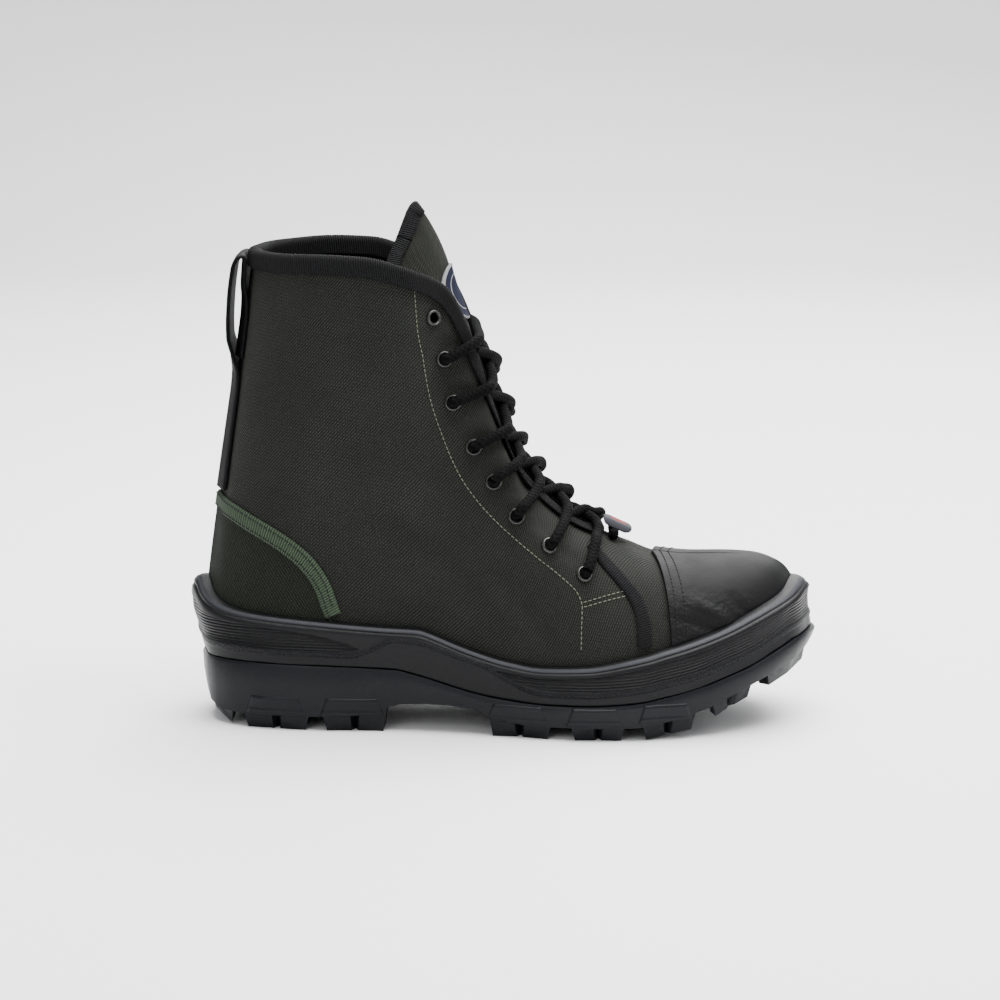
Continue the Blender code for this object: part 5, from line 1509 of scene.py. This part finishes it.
@dataclass
class Tongue:
    """Olive tongue between the facings, its bound free end and its plain round patch."""

    last: Last
    inset: float = (2.2 + 1.05 + 1.0 + 3.4 * 0.3) * MM
    wing: float = 14.0 * MM
    crown: float = 5.0 * MM
    length: float = 45.0 * MM
    thick: float = 3.0 * MM
    patch_radius: float = 14.0 * MM
    rows: tuple = ((11.8, 0.40), (11.35, 0.55), (10.9, 0.70), (10.3, 0.82), (9.6, 0.84), (9.0, 0.84),
                   (8.0, 1.0),
                   (7.3, 1.0), (6.75, 1.0))
    top: tuple = ((0.020, 0.18, 0.56, 0.46, 0.05), (0.075, 0.38, 0.56, 0.56, 0.16),
                  (0.170, 0.62, 0.50, 0.52, 0.30),
                  (0.290, 0.84, 0.34, 0.34, 0.34), (0.400, 1.00, 0.10, 0.06, 0.06))

    def frame_at(self, station: float) -> tuple[Array, Array]:
        """Edge point of the throat at a rib and its outward direction in side view.

        Args:
            station: The rib.

        Returns:
            The edge point and the direction.
        """
        edge = self.last.point(station, 1.0)
        run = self.last.point(station - 0.1, 1.0) - self.last.point(station + 0.1, 1.0)
        run = unit(run * np.array([1.0, 0.0, 1.0]))
        return edge, np.array([run[2], 0.0, -run[0]])

    def face(self, depth: float) -> Array:
        """Grid of one face: ribs of the throat, then the free end, nine points across.

        Args:
            depth: Depth under the outer face.

        Returns:
            Grid of points, nine across.
        """
        grid = []
        for station, share in self.rows:
            edge, out = self.frame_at(station)
            halves = []
            for side in Side:
                ring = station if side is Side.OUTER else 2.0 * self.last.stations - station
                spots = np.array([edge - out * r * share * self.wing for r in (1.0, 0.5)]) - self.last.shift
                found = self.last.locate(spots[:, [0, 2]] / MM, side)
                half = [self.last.point(*spot) - self.last.normal(*spot) * (self.inset + depth)
                        for spot in found]
                lip = self.last.point(ring, 0.999) - self.last.normal(ring, 0.999) * (self.inset + depth)
                middle_y = self.last.shift[1]
                bowed = np.array([lip[0], middle_y + 0.5 * (lip[1] - middle_y), lip[2]])
                half += [lip, bowed + out * 0.72 * self.crown * min(1.0, share)]
                halves.append(half)
            middle = 0.5 * (halves[0][2] + halves[1][2])
            middle[1] = self.last.shift[1]
            grid.append(halves[0] + [middle + out * self.crown * min(1.0, share)] + halves[1][::-1])
        corner = self.last.point(6.3, 1.0)
        base = np.array([corner[0] + self.crown - self.inset + 1.0 * MM, self.last.shift[1], corner[2]])
        for back, high, half_wide, hang, droop in self.top:
            u = np.array([-1.0, -0.78, -0.52, -0.26, 0.0, 0.26, 0.52, 0.78, 1.0])
            row = base + self.length * np.stack([-back - hang * np.abs(u) ** 1.7, half_wide * u,
                                                 high - droop * np.abs(u) ** 1.8], 1)
            turn = np.stack([-np.cos(0.9 * u), -0.9 * np.sin(0.9 * u), np.full(9, -0.25)], 1)
            grid.append(list(row + depth * turn))
        return np.array(grid)

    def build(self) -> None:
        """Build the tongue, the binding round its free end and the patch."""
        outer, inner = (finer(self.face(depth), 140, 73) for depth in (0.0, self.thick))
        points, uv = closed_band(outer, inner, arc_uv(outer.transpose(1, 0, 2)).transpose(1, 0, 2)[..., ::-1],
                                 False)
        piece([Sheet("tongue", points, uv)], "tongue_canvas", finish_of("tongue"), "tongue")
        self.bound_end(outer, inner)
        self.patch(outer)

    def bound_end(self, outer: Array, inner: Array) -> None:
        """Tape folded over the free end, from one collar corner over the tip to the other.

        Args:
            outer: Grid of the outer face.
            inner: Grid of the inner face.
        """
        middle = 0.5 * (outer + inner)
        start = 98
        rim = np.concatenate([middle[start:, 0], middle[-1, 1:-1], middle[start:, -1][::-1]])
        rim = smooth_path(rim[::9], 150)
        tree = grid_tree(middle)
        face = unit(np.array([tree.find_nearest(Vector(p))[1][:] for p in rim]))
        face *= np.sign(face[:, :1] + 1e-9)
        ahead = unit(np.gradient(rim, axis=0))
        inward = np.cross(face, ahead)
        centre = middle[125, 36]
        inward *= np.sign(np.sum(inward * (centre - rim), axis=1))[:, None]
        half = 0.5 * self.thick + 0.7 * MM
        down = np.array([6.0, 3.0, 0.0, -0.9, -1.2, -0.9, 0.0, 3.0, 6.0]) * MM
        out = np.array([1.0, 1.0, 1.0, 0.6, 0.0, -0.6, -1.0, -1.0, -1.0]) * half
        path = rim[:, None] + inward[:, None] * down[None, :, None] + face[:, None] * out[None, :, None]
        down_in, out_in = down * 0.96 + 0.5 * MM, out * 0.62
        core = rim[:, None] + inward[:, None] * down_in[None, :, None] + face[:, None] * out_in[None, :, None]
        run = path_length(rim)
        uv = pattern_of(run, np.linspace(0.0, 0.015, 9))
        points, pattern = closed_band(path, core, uv, False)
        piece([Sheet("tongue tape", points, pattern)], "tongue_tape", finish_of("black tape"))

    def patch(self, outer: Array) -> None:
        """Plain round patch lying on the tongue under its tip.

        Args:
            outer: Grid of the tongue's outer face.
        """
        low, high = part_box("tongue_patch")
        aim = Vector(0.5 * (np.array(low) + np.array(high)))
        tree = grid_tree(outer)
        spot, normal = (np.array(v) for v in tree.find_nearest(aim)[:2])
        normal *= np.sign(normal[0])
        side = np.array([0.0, 1.0, 0.0])
        up = unit(np.cross(normal, side))
        up *= np.sign(up[2])
        t = np.linspace(0.0, 2.0 * math.pi, 49)
        t[-1] = 0.0
        profile = [(1.0, 0.3 * MM), (1.0, 1.1 * MM), (0.965, 1.5 * MM), (0.9, 1.45 * MM), (0.86, 1.2 * MM),
                   (0.6, 1.2 * MM), (0.3, 1.2 * MM), (0.0, 1.2 * MM), (0.0, 0.3 * MM), (0.5, 0.3 * MM),
                   (1.0, 0.3 * MM)]
        rows, uvs = [], []
        for r, lift in profile:
            flat = spot + self.patch_radius * r * (np.cos(t)[:, None] * side + np.sin(t)[:, None] * up)
            seat = []
            for p in flat:
                hit = tree.ray_cast(Vector(p + normal * 0.02), Vector(-normal))
                seat.append(np.array(hit[0]) if hit[0] else p)
            rows.append(np.array(seat) + normal * lift)
            uvs.append(np.stack([r * np.cos(t), r * np.sin(t)], 1))
        sheet = Sheet("patch", np.array(rows), np.array(uvs))
        piece([sheet], "plain_patch", finish_of("patch"), "tongue_patch")


@dataclass
class Lacing:
    """Black eyelets, the lace run through them, and the folded tag on its bar."""

    last: Last
    tongue: Tongue
    radius: float = 2.55 * MM
    seats: dict = field(default_factory=dict)

    def read_seats(self) -> None:
        """Centre and outward normal of each eyelet: mean and flattest direction of its node."""
        for number in range(1, 9):
            for side, name in ((Side.OUTER, "outer"), (Side.INNER, "inner")):
                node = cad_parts["eyelet_%s_%d" % (name, number)]
                points = np.array([v.co[:] for v in node.data.vertices])
                middle = 0.5 * (points.min(0) + points.max(0))
                normal = np.linalg.svd(points - points.mean(0))[2][-1]
                normal *= np.sign(normal[1] * side.value)
                lift = (points - middle) @ normal
                self.seats[side, number] = (middle + normal * lift.min(), normal)

    def eyelets(self) -> None:
        """Rolled flange of every eyelet as one piece, and as another a near-black disc in each hole: painted
        shade inside the eyelets.

        A turned profile of radius and height, round the seat's normal.
        """
        profile = np.array([(2.3, 0.05), (2.45, 0.5), (2.75, 1.0), (3.1, 1.35), (3.6, 1.15), (4.0, 0.5),
                            (4.1, 0.0), (2.3, -0.2), (2.3, 0.05)]) * MM
        t = np.linspace(0.0, 2.0 * math.pi, 25)
        t[-1] = 0.0
        # Near-black disc across the hole: painted shade inside the eyelet
        disc = np.array([(0.0, 0.12), (2.4, 0.12), (2.4, -0.15), (0.0, -0.15)]) * MM
        sheets, shade_discs = [], []
        for centre, normal in self.seats.values():
            a = unit(np.cross(normal, [0.0, 0.0, 1.0]))
            b = np.cross(normal, a)
            ring = np.cos(t)[:, None] * a + np.sin(t)[:, None] * b
            points = centre + profile[:, :1, None] * ring[None] + profile[:, 1:, None] * normal
            sheets.append(Sheet("eyelet", points, np.zeros(points.shape[:2] + (2,))))
            points = centre + disc[:, :1, None] * ring[None] + disc[:, 1:, None] * normal
            shade_discs.append(Sheet("bore", points, np.zeros(points.shape[:2] + (2,))))
        piece(shade_discs, "eyelet_shade_discs", finish_of("bore"))
        nodes = ["eyelet_%s_%d" % (name, n) for name in ("outer", "inner") for n in range(1, 9)]
        piece(sheets, "eyelets", finish_of("lacquer"), *nodes)

    def tree(self) -> BVHTree:
        """Surfaces that the lace lies over: canvas, tongue, tapes and eyelets.

        Returns:
            Search tree over their faces.
        """
        points, faces = [], []
        names = ["upper", "tongue", "edge_binding", "quarter_tape_outer", "quarter_tape_inner"]
        names += ["eyelet_%s_%d" % (name, n) for name in ("outer", "inner") for n in range(1, 9)]
        for name in names:
            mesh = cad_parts[name].data
            start = len(points)
            points += [v.co.copy() for v in mesh.vertices]
            faces += [[start + i for i in face.vertices] for face in mesh.polygons]
        return BVHTree.FromPolygons(points, faces)

    def station_of(self, seat: Array) -> float:
        """Rib whose throat edge lies straight across from a seat.

        Args:
            seat: Centre of an eyelet.

        Returns:
            The rib.
        """
        stations = np.linspace(6.4, 12.0, 113)
        edges = self.last.point(stations, np.ones(113))
        run = np.gradient(edges, axis=0)[:, [0, 2]]
        off = np.abs(((edges - seat)[:, [0, 2]] * run).sum(1)) / np.linalg.norm(run, axis=1)
        return float(stations[int(np.argmin(off))])

    def strand(self, number: int, side: Side, over: float, tree: BVHTree) -> Array:
        """Middle line of one strand: out of its eyelet, over the edge and across the tongue.

        Args:
            number: Eyelet row.
            side: Side it starts on.
            over: Extra height where it passes over its fellow.
            tree: Surfaces it lies over.

        Returns:
            Points, drawn tight and kept a radius clear of the surfaces.
        """
        centre, normal = self.seats[side, number]
        other = Side.INNER if side is Side.OUTER else Side.OUTER
        low = self.station_of(centre)
        step = self.station_of(self.seats[other, number - 1][0]) - low
        mid_y = self.last.shift[1]
        lip, out = self.tongue.frame_at(low + 0.12 * step)
        ring = low + 0.12 * step if side is Side.OUTER else 2.0 * self.last.stations - low - 0.12 * step
        corner = unit(self.last.normal(ring, 1.0) * 0.75 + out * 0.66)
        brow = self.last.point(ring, 1.0) + corner * 5.2 * MM

        def across(share: float, wide: float, lift: float) -> Array:
            """Point over the tongue at a share of the step and of the throat's width."""
            edge, way = self.tongue.frame_at(low + share * step)
            return np.array([edge[0], mid_y + side.value * wide * abs(edge[1] - mid_y), edge[2]]) + way * lift

        reach = 0.45 if number == 2 else 1.0
        knots = [centre - normal * 0.3 * MM, centre + normal * 2.2 * MM, centre + normal * 3.9 * MM, brow,
                 across(0.34 * reach, 0.5, 4.8 * MM), across(0.52 * reach, 0.0, 3.8 * MM + over),
                 across(0.72 * reach, -0.5, 3.6 * MM), across(0.90 * reach, -0.98, 0.6 * MM)]
        path = smooth_path(knots, 90)
        need = self.radius + 0.25 * MM
        for _ in range(60):
            path[8:-1] += 0.2 * (path[9:] + path[7:-2] - 2.0 * path[8:-1])
            for point in path[9:-14]:
                away = point - np.array(tree.find_nearest(Vector(point))[0])
                gap = math.copysign(float(np.linalg.norm(away)),
                                    float(np.dot(away, [0.03, point[1] - mid_y, 0.03])))
                if gap < need:
                    point += away / gap * (need - gap)
        bow = np.exp(-((np.linspace(0.0, 1.0, 90) - 0.56) / 0.10) ** 2)
        path += bow[:, None] * out * max(0.0, over - 1.0 * MM)
        return path

    def lace(self) -> None:
        """Crossings 2 to 8 as two strands of braid, the inner one passing over the outer; crossing 2 has its
        outer strand only.
        """
        tree = self.tree()
        for number in range(2, 9):
            sheets, lengths = [], []
            for side in Side:
                if number == 2 and side is Side.INNER:
                    continue
                path = self.strand(number, side, 3.6 * MM if side is Side.INNER else 0.0, tree)
                points = swept(path, self.radius, 20)
                run = path_length(path)
                lengths.append(round(float(run[-1]) / MM))
                run = np.concatenate([run[:1], run[:1], run, run[-1:], run[-1:]])
                uv = pattern_of(run, np.linspace(0.0, 1.0, 21))
                sheets.append(Sheet("strand", points, uv))
            piece(sheets, "lace_%d" % number, finish_of("lace braid"), "lace_crossing_%d" % number)
            LOG.info("lace_%d: strands of %s mm", number, lengths)

    def tag(self) -> None:
        """Bar of the lace under the lowest crossing, and the grey tag folded over it."""
        low, high = (np.array(c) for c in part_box("lace_bar"))
        centre = 0.5 * (low + high)
        y = np.linspace(low[1] + 1.0 * MM, high[1] - 1.0 * MM, 24)
        drop = 0.3 * MM * ((y - centre[1]) / (10.0 * MM)) ** 2
        path = np.stack([np.full(24, centre[0]) - drop, y, np.full(24, centre[2]) - drop], 1)
        points = swept(path, self.radius, 20, (1.0, 0.0, 0.0))
        uv = pattern_of(np.linspace(0.0, 0.02, 28), np.linspace(0.0, 1.0, 21))
        piece([Sheet("bar", points, uv)], "lace_bar_braid", finish_of("lace braid"), "lace_bar")
        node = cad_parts["lace_tag"]
        cloud = np.array([v.co[:] for v in node.data.vertices])
        middle = cloud.mean(0)
        axes = np.linalg.svd(cloud - middle)[2]
        along, wide, normal = axes
        normal = normal * np.sign(normal[2])
        spans = [np.abs((cloud - middle) @ axis).max() for axis in (along, wide, normal)]
        u = np.linspace(-1.0, 1.0, 25)
        grid_u, grid_v = np.meshgrid(u, u, indexing="ij")
        soft = 1.0 - 0.10 * np.abs(grid_v) ** 6
        corner = 1.0 - 0.12 * np.abs(grid_u) ** 6
        reach_u = grid_u[..., None] * soft[..., None] * spans[0] * along
        reach_v = grid_v[..., None] * corner[..., None] * spans[1] * wide
        base = middle + reach_u + reach_v
        base -= normal * (4.2 * MM * np.clip((np.abs(base[..., 1:2] - middle[1]) / (7.0 * MM) - 0.55) / 0.45,
                                             0.0, 1.0) ** 2)
        swell = (1.0 - np.abs(grid_u) ** 8) * (1.0 - np.abs(grid_v) ** 8)
        dent = 0.10 * (1.0 - grid_u**2)
        top = base + normal * (spans[2] * (0.25 + 0.75 * swell - dent))[..., None]
        under = base - normal * (spans[2] * (0.25 + 0.55 * swell))[..., None]
        points, uv = closed_band(top, under, np.stack([grid_u, grid_v], -1), False)
        piece([Sheet("tag", points, uv)], "plain_tag", finish_of("tag"), "lace_tag")

    def build(self) -> None:
        """Build eyelets, lace and tag."""
        self.read_seats()
        self.eyelets()
        self.lace()
        self.tag()


@dataclass
class Sole:
    """Moulded rand, lugged outsole and insole board.

    Columns: panels and hatches hold x in mm, middle and half width in shares
    of the rand's height; lugs hold two ends and a base height in mm.
    """

    last: Last
    panels: tuple = ((-150.0, 0.52, 0.19), (-120.0, 0.54, 0.23), (-92.0, 0.52, 0.19), (-76.0, 0.46, 0.10),
                     (-67.0, 0.42, 0.0), (-6.0, 0.72, 0.0), (5.0, 0.66, 0.09), (20.0, 0.58, 0.17),
                     (40.0, 0.56, 0.20),
                     (80.0, 0.56, 0.21), (120.0, 0.55, 0.21), (152.0, 0.55, 0.21))
    hatches: tuple = ((-150.0, 0.24, 0.05), (-74.0, 0.25, 0.05), (-64.0, 0.42, 0.05), (-52.0, 0.72, 0.05),
                      (-12.0, 0.76, 0.05), (0.0, 0.58, 0.05), (12.0, 0.34, 0.05), (25.0, 0.26, 0.05),
                      (152.0, 0.25, 0.05))
    lugs: tuple = ((-124.0, -95.0, 7.5), (-88.0, -57.0, 7.5), (-8.0, 21.0, 7.5), (30.0, 56.0, 7.5),
                   (64.0, 90.0, 9.0))
    pad_height: float = 9.0

    def band(self, rows: tuple, x: Array, height: Array, soft: float) -> Array:
        """Mask of a band whose middle and half width, in shares of the rand, go with x.

        Args:
            rows: Rows of x, middle and half width.
            x: Places in metres.
            height: Shares of the rand's height.
            soft: Width of the mask's edge.

        Returns:
            Mask from 0 to 1.
        """
        read = smooth_table(rows, ("x", "middle", "half"), "x", (x / MM).ravel())
        middle, half = (read[name].reshape(x.shape) for name in ("middle", "half"))
        return np.clip((half - np.abs(height - middle)) / soft + 0.5, 0.0, 1.0) * (half > 0.012)

    def rand(self) -> bpy.types.Object:
        """The cup of the sole: floor, sloped side, rounded lip, and the wall inside it.

        Rings out from the footbed edge at set heights, read finely between
        them with smooth curves. The panels are sunk by 0.35 mm, the hatched
        band stands 0.45 mm proud, and a groove of 0.5 mm runs above them.

        Returns:
            The piece.
        """
        last = self.last
        ring = np.linspace(0.0, 2.0 * last.stations, 409)
        foot = last.point(ring, np.zeros(len(ring)))
        around = np.gradient(foot, axis=0)
        around[0] = around[-1] = foot[1] - foot[-2]
        out = unit(np.stack([around[:, 1], -around[:, 0], np.zeros(len(ring))], 1))
        wide, skirt = (last.rib_value(name, ring) * last.rand_wall for name in ("wide", "skirt"))
        x = foot[:, 0] - last.shift[0]

        def at(reach: Array, height: Array) -> Array:
            """Points out from the footbed edge by reach, at a height.

            Args:
                reach: Distance out from the footbed edge.
                height: Height of the ring.

            Returns:
                A ring of points.
            """
            made = foot + out * reach[:, None]
            made[:, 2] = height
            return made

        rand = last.level("rand", x)
        ledge = last.level("ledge", (foot + out * skirt[:, None])[:, 0] - last.shift[0])
        bed = last.level("bed", x)
        lip_share = last.share_at(ring, rand)
        wall = last.point(ring, lip_share) + last.normal(ring, lip_share) * last.clear
        lip = wall + out * (0.18 * wide)[:, None]
        lip[:, 2] = rand + 0.2 * MM
        outer = at(wide, rand)
        shoulder, crown = 0.18 * wall + 0.82 * outer, 0.45 * wall + 0.55 * outer
        shoulder[:, 2], crown[:, 2] = rand - 2.2 * MM, rand - 0.3 * MM
        span = rand - ledge
        rows = np.stack([at(skirt, ledge), at(0.45 * skirt + 0.5 * wide, ledge + 0.30 * span),
                         at(0.96 * wide, ledge + 0.58 * span), at(wide, ledge + 0.78 * span), shoulder, crown,
                         lip,
                         wall + out * (0.3 * MM)], 1)
        side = finer(rows, len(ring), 90)
        height = (side[..., 2] - ledge[:, None]) / span[:, None]
        place = side[..., 0] - last.shift[0]
        panel = self.band(self.panels, place, height, 0.03)
        hatch = self.band(self.hatches, place, height, 0.02)
        steps = np.arange(90)[None, :] < 52
        panel, hatch = panel * steps, hatch * steps
        # Mask of the painted highlight along the crown of the lip
        lip_highlight = bump_at(np.broadcast_to(np.arange(90)[None, :], height.shape), 57.0, 4.0)
        groove = bump_at(height, 0.885, 0.02) * steps
        side = side + out[:, None] * ((0.45 * hatch - 0.35 * panel - 0.5 * groove) * MM)[..., None]
        low = np.minimum(ledge, bed - 5.0 * MM)
        spine = np.stack([np.clip(foot[:, 0], foot[:, 0].min() + 25.0 * MM, foot[:, 0].max() - 25.0 * MM),
                          np.full(len(ring), last.shift[1]), bed], 1)
        under = spine * [1.0, 1.0, 0.0] + np.stack([0.0 * low, 0.0 * low, low], 1)
        inner = np.stack([at(np.full(len(ring), -last.clear), bed), spine, under,
                          at(np.full(len(ring), -0.3 * last.rand_wall), low)], 1)
        points = np.concatenate([side, inner, side[:, :1]], axis=1)
        points[-1] = points[0]
        run = path_length(foot)
        up = np.concatenate([np.zeros((len(ring), 1)),
                             np.cumsum(np.linalg.norm(np.diff(points, axis=1), axis=2), axis=1)], 1)
        uv = np.stack([np.broadcast_to(run[:, None], up.shape), up], -1)
        # The lip mask carries the painted highlight along the lip's crown
        blank = np.zeros((len(ring), 5))
        masks = {name: np.concatenate([mask, blank], axis=1)
                 for name, mask in (("panel", panel), ("hatch", hatch), ("lip", lip_highlight))}
        return piece([Sheet("rand", points, uv, masks)], "rand_moulding", finish_of("rand rubber"),
                     "midsole")

    def build(self) -> None:
        """Build the rand, the outsole and the lug pads, and dress the insole."""
        self.rand()
        dress("insole", finish_of("lining"))
        self.outsole()
        self.lug_pads()

    def lug_pads(self) -> None:
        """Raised pads with a moulded rib on the side over the five larger lugs, laid on by rays.

        Height over the outsole: 0.8 mm inside a soft rim, plus a rib 0.7 mm high
        at 0.22 of the way up.
        """
        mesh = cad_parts["outsole"].data
        tree = BVHTree.FromPolygons([v.co.copy() for v in mesh.vertices],
                                    [list(f.vertices) for f in mesh.polygons])
        sheets = []
        for left, right, base in self.lugs:
            for side in Side:
                u, v = np.meshgrid(np.linspace(-1.0, 1.0, 33), np.linspace(0.0, 1.0, 17), indexing="ij")
                x = 0.5 * (left + right) + 0.5 * (right - left) * u * (1.0 - 0.22 * v)
                z = base + self.pad_height * v
                spots = np.stack([x, np.zeros_like(x), z], -1) * MM + self.last.shift * [1.0, 1.0, 0.0]
                rim = np.clip((1.0 - np.abs(u)) / 0.08, 0.0, 1.0) * np.clip((1.0 - v) / 0.12, 0.0, 1.0)
                lift = (0.8 * rim + 0.7 * rim * bump_at(v, 0.22, 0.05)) * MM
                out = np.array([0.0, float(side.value), 0.0])
                seat = spots.reshape(-1, 3).copy()
                for row in seat:
                    hit = tree.ray_cast(Vector(row + out * 0.2), Vector(-out))[0]
                    row[1] = hit[1] if hit else row[1]
                seat = seat.reshape(spots.shape)
                points, uv = closed_band(seat + out * lift[..., None], seat - out * 0.6 * MM,
                                         np.stack([x, z], -1) * MM, False)
                sheets.append(Sheet("pad", points, uv))
        piece(sheets, "lug_pads", finish_of("sole rubber"))

    def outsole(self) -> None:
        """A welded copy of the outsole with its edges eased."""
        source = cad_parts["outsole"].data
        work = bmesh.new()
        work.from_mesh(source)
        bmesh.ops.remove_doubles(work, verts=work.verts, dist=2e-6)
        bmesh.ops.dissolve_limit(work, angle_limit=math.radians(0.6), verts=work.verts, edges=work.edges)
        mesh = bpy.data.meshes.new("outsole_lugs")
        work.to_mesh(mesh)
        work.free()
        mesh.shade_smooth()
        made = bpy.data.objects.new("outsole_lugs", mesh)
        bpy.context.scene.collection.objects.link(made)
        mesh.set_sharp_from_angle(angle=math.radians(32.0))
        bevel = made.modifiers.new("eased", "BEVEL")
        bevel.width, bevel.segments = 0.45 * MM, 2
        bevel.limit_method, bevel.angle_limit = "ANGLE", math.radians(40.0)
        bevel.harden_normals = True
        mesh.materials.append(finish_of("sole rubber"))
        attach(made, "root")
        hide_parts("outsole")


def dress(node: str, material: bpy.types.Material) -> None:
    """Give a carried-over node its finish.

    Args:
        node: Name of the CAD node.
        material: Its finish.
    """
    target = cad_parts[node]
    if not target.material_slots:
        target.data.materials.append(material)
    for slot in target.material_slots:
        slot.material = material


@dataclass
class Studio:
    """Pale floor, soft lights, and the camera at the photograph's angle.

    Columns of lamps: name, place, size in metres, power in watts.
    """

    shift: Array
    distance: float = 1.6
    height_angle: float = 11.0
    turn: float = 1.0
    lens: float = 119.3
    sensor: float = 36.0
    frame_shift: tuple[float, float] = (-0.005, -0.030)
    sky: float = 0.62
    lamps: tuple = (("top", (0.25, 0.1, 1.5), 1.6, 110.0),
                    ("key", (-0.7, -1.6, 1.1), 0.9, 9.0),
                    ("fill", (1.3, -0.7, 0.8), 1.0, 5.0),
                    ("back", (0.2, 1.4, 1.1), 1.2, 30.0))

    def build(self) -> None:
        """Place floor, lights and camera."""
        self.floor()
        self.lights()
        self.camera()

    def floor(self) -> None:
        """A wide pale sheet that rises softly far behind the boot."""
        x = np.linspace(-3.0, 3.0, 41)
        y = np.concatenate([np.linspace(-3.0, 1.6, 24), 1.6 + np.linspace(0.05, 1.2, 24)])
        z = np.where(y > 1.6, 1.4 * ((y - 1.6) / 1.2) ** 2, 0.0)
        grid = np.stack(np.broadcast_arrays(x[:, None], y[None], z[None]), -1)
        sheet = Sheet("floor", grid, grid[..., :2])
        made = bpy.data.objects.new("floor", sheet.mesh())
        made.data.materials.append(Plain("floor", linear(252, 252, 252), 0.9, relief=0.0,
                                         dust=0.0).material())
        bpy.context.scene.collection.objects.link(made)

    def lights(self) -> None:
        """A large key from the left front, a broad top light, and a low fill."""
        world = bpy.data.worlds.new("studio")
        world.use_nodes = True
        world.node_tree.nodes["Background"].inputs[0].default_value = (0.96, 0.97, 1.0, 1.0)
        world.node_tree.nodes["Background"].inputs[1].default_value = self.sky
        bpy.context.scene.world = world
        for name, place, size, power in self.lamps:
            data = bpy.data.lights.new(name, "AREA")
            data.size, data.energy = size, power
            light = bpy.data.objects.new(name, data)
            light.location = place
            light.rotation_euler = (Vector((0.0, 0.0, 0.08))
                                    - Vector(place)).to_track_quat("-Z", "Y").to_euler()
            bpy.context.scene.collection.objects.link(light)

    def camera(self) -> None:
        """Camera on a sphere round the boot's middle, looking at it."""
        rise, turn = math.radians(self.height_angle), math.radians(self.turn)
        aim = np.array([0.0, 0.0, 0.12]) + self.shift
        back = np.array([math.sin(turn) * math.cos(rise), -math.cos(turn) * math.cos(rise), math.sin(rise)])
        data = bpy.data.cameras.new("camera")
        data.lens, data.sensor_width = self.lens, self.sensor
        data.shift_x, data.shift_y = self.frame_shift
        camera = bpy.data.objects.new("camera", data)
        camera.location = aim + back * self.distance
        camera.rotation_euler = Vector(-back).to_track_quat("-Z", "Y").to_euler()
        bpy.context.scene.collection.objects.link(camera)
        bpy.context.scene.camera = camera


def main() -> None:
    """Build the boot's classes in order."""
    logging.basicConfig(level=logging.INFO, format="%(name)s: %(message)s")
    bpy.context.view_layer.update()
    last = Last(shift=np.array([0.00089, 0.002, 0.0]))
    tongue = Tongue(last)
    Studio(last.shift).build()
    Sole(last).build()
    Upper(last).build()
    tongue.build()
    Lacing(last, tongue).build()


if __name__ == "__main__":
    main()
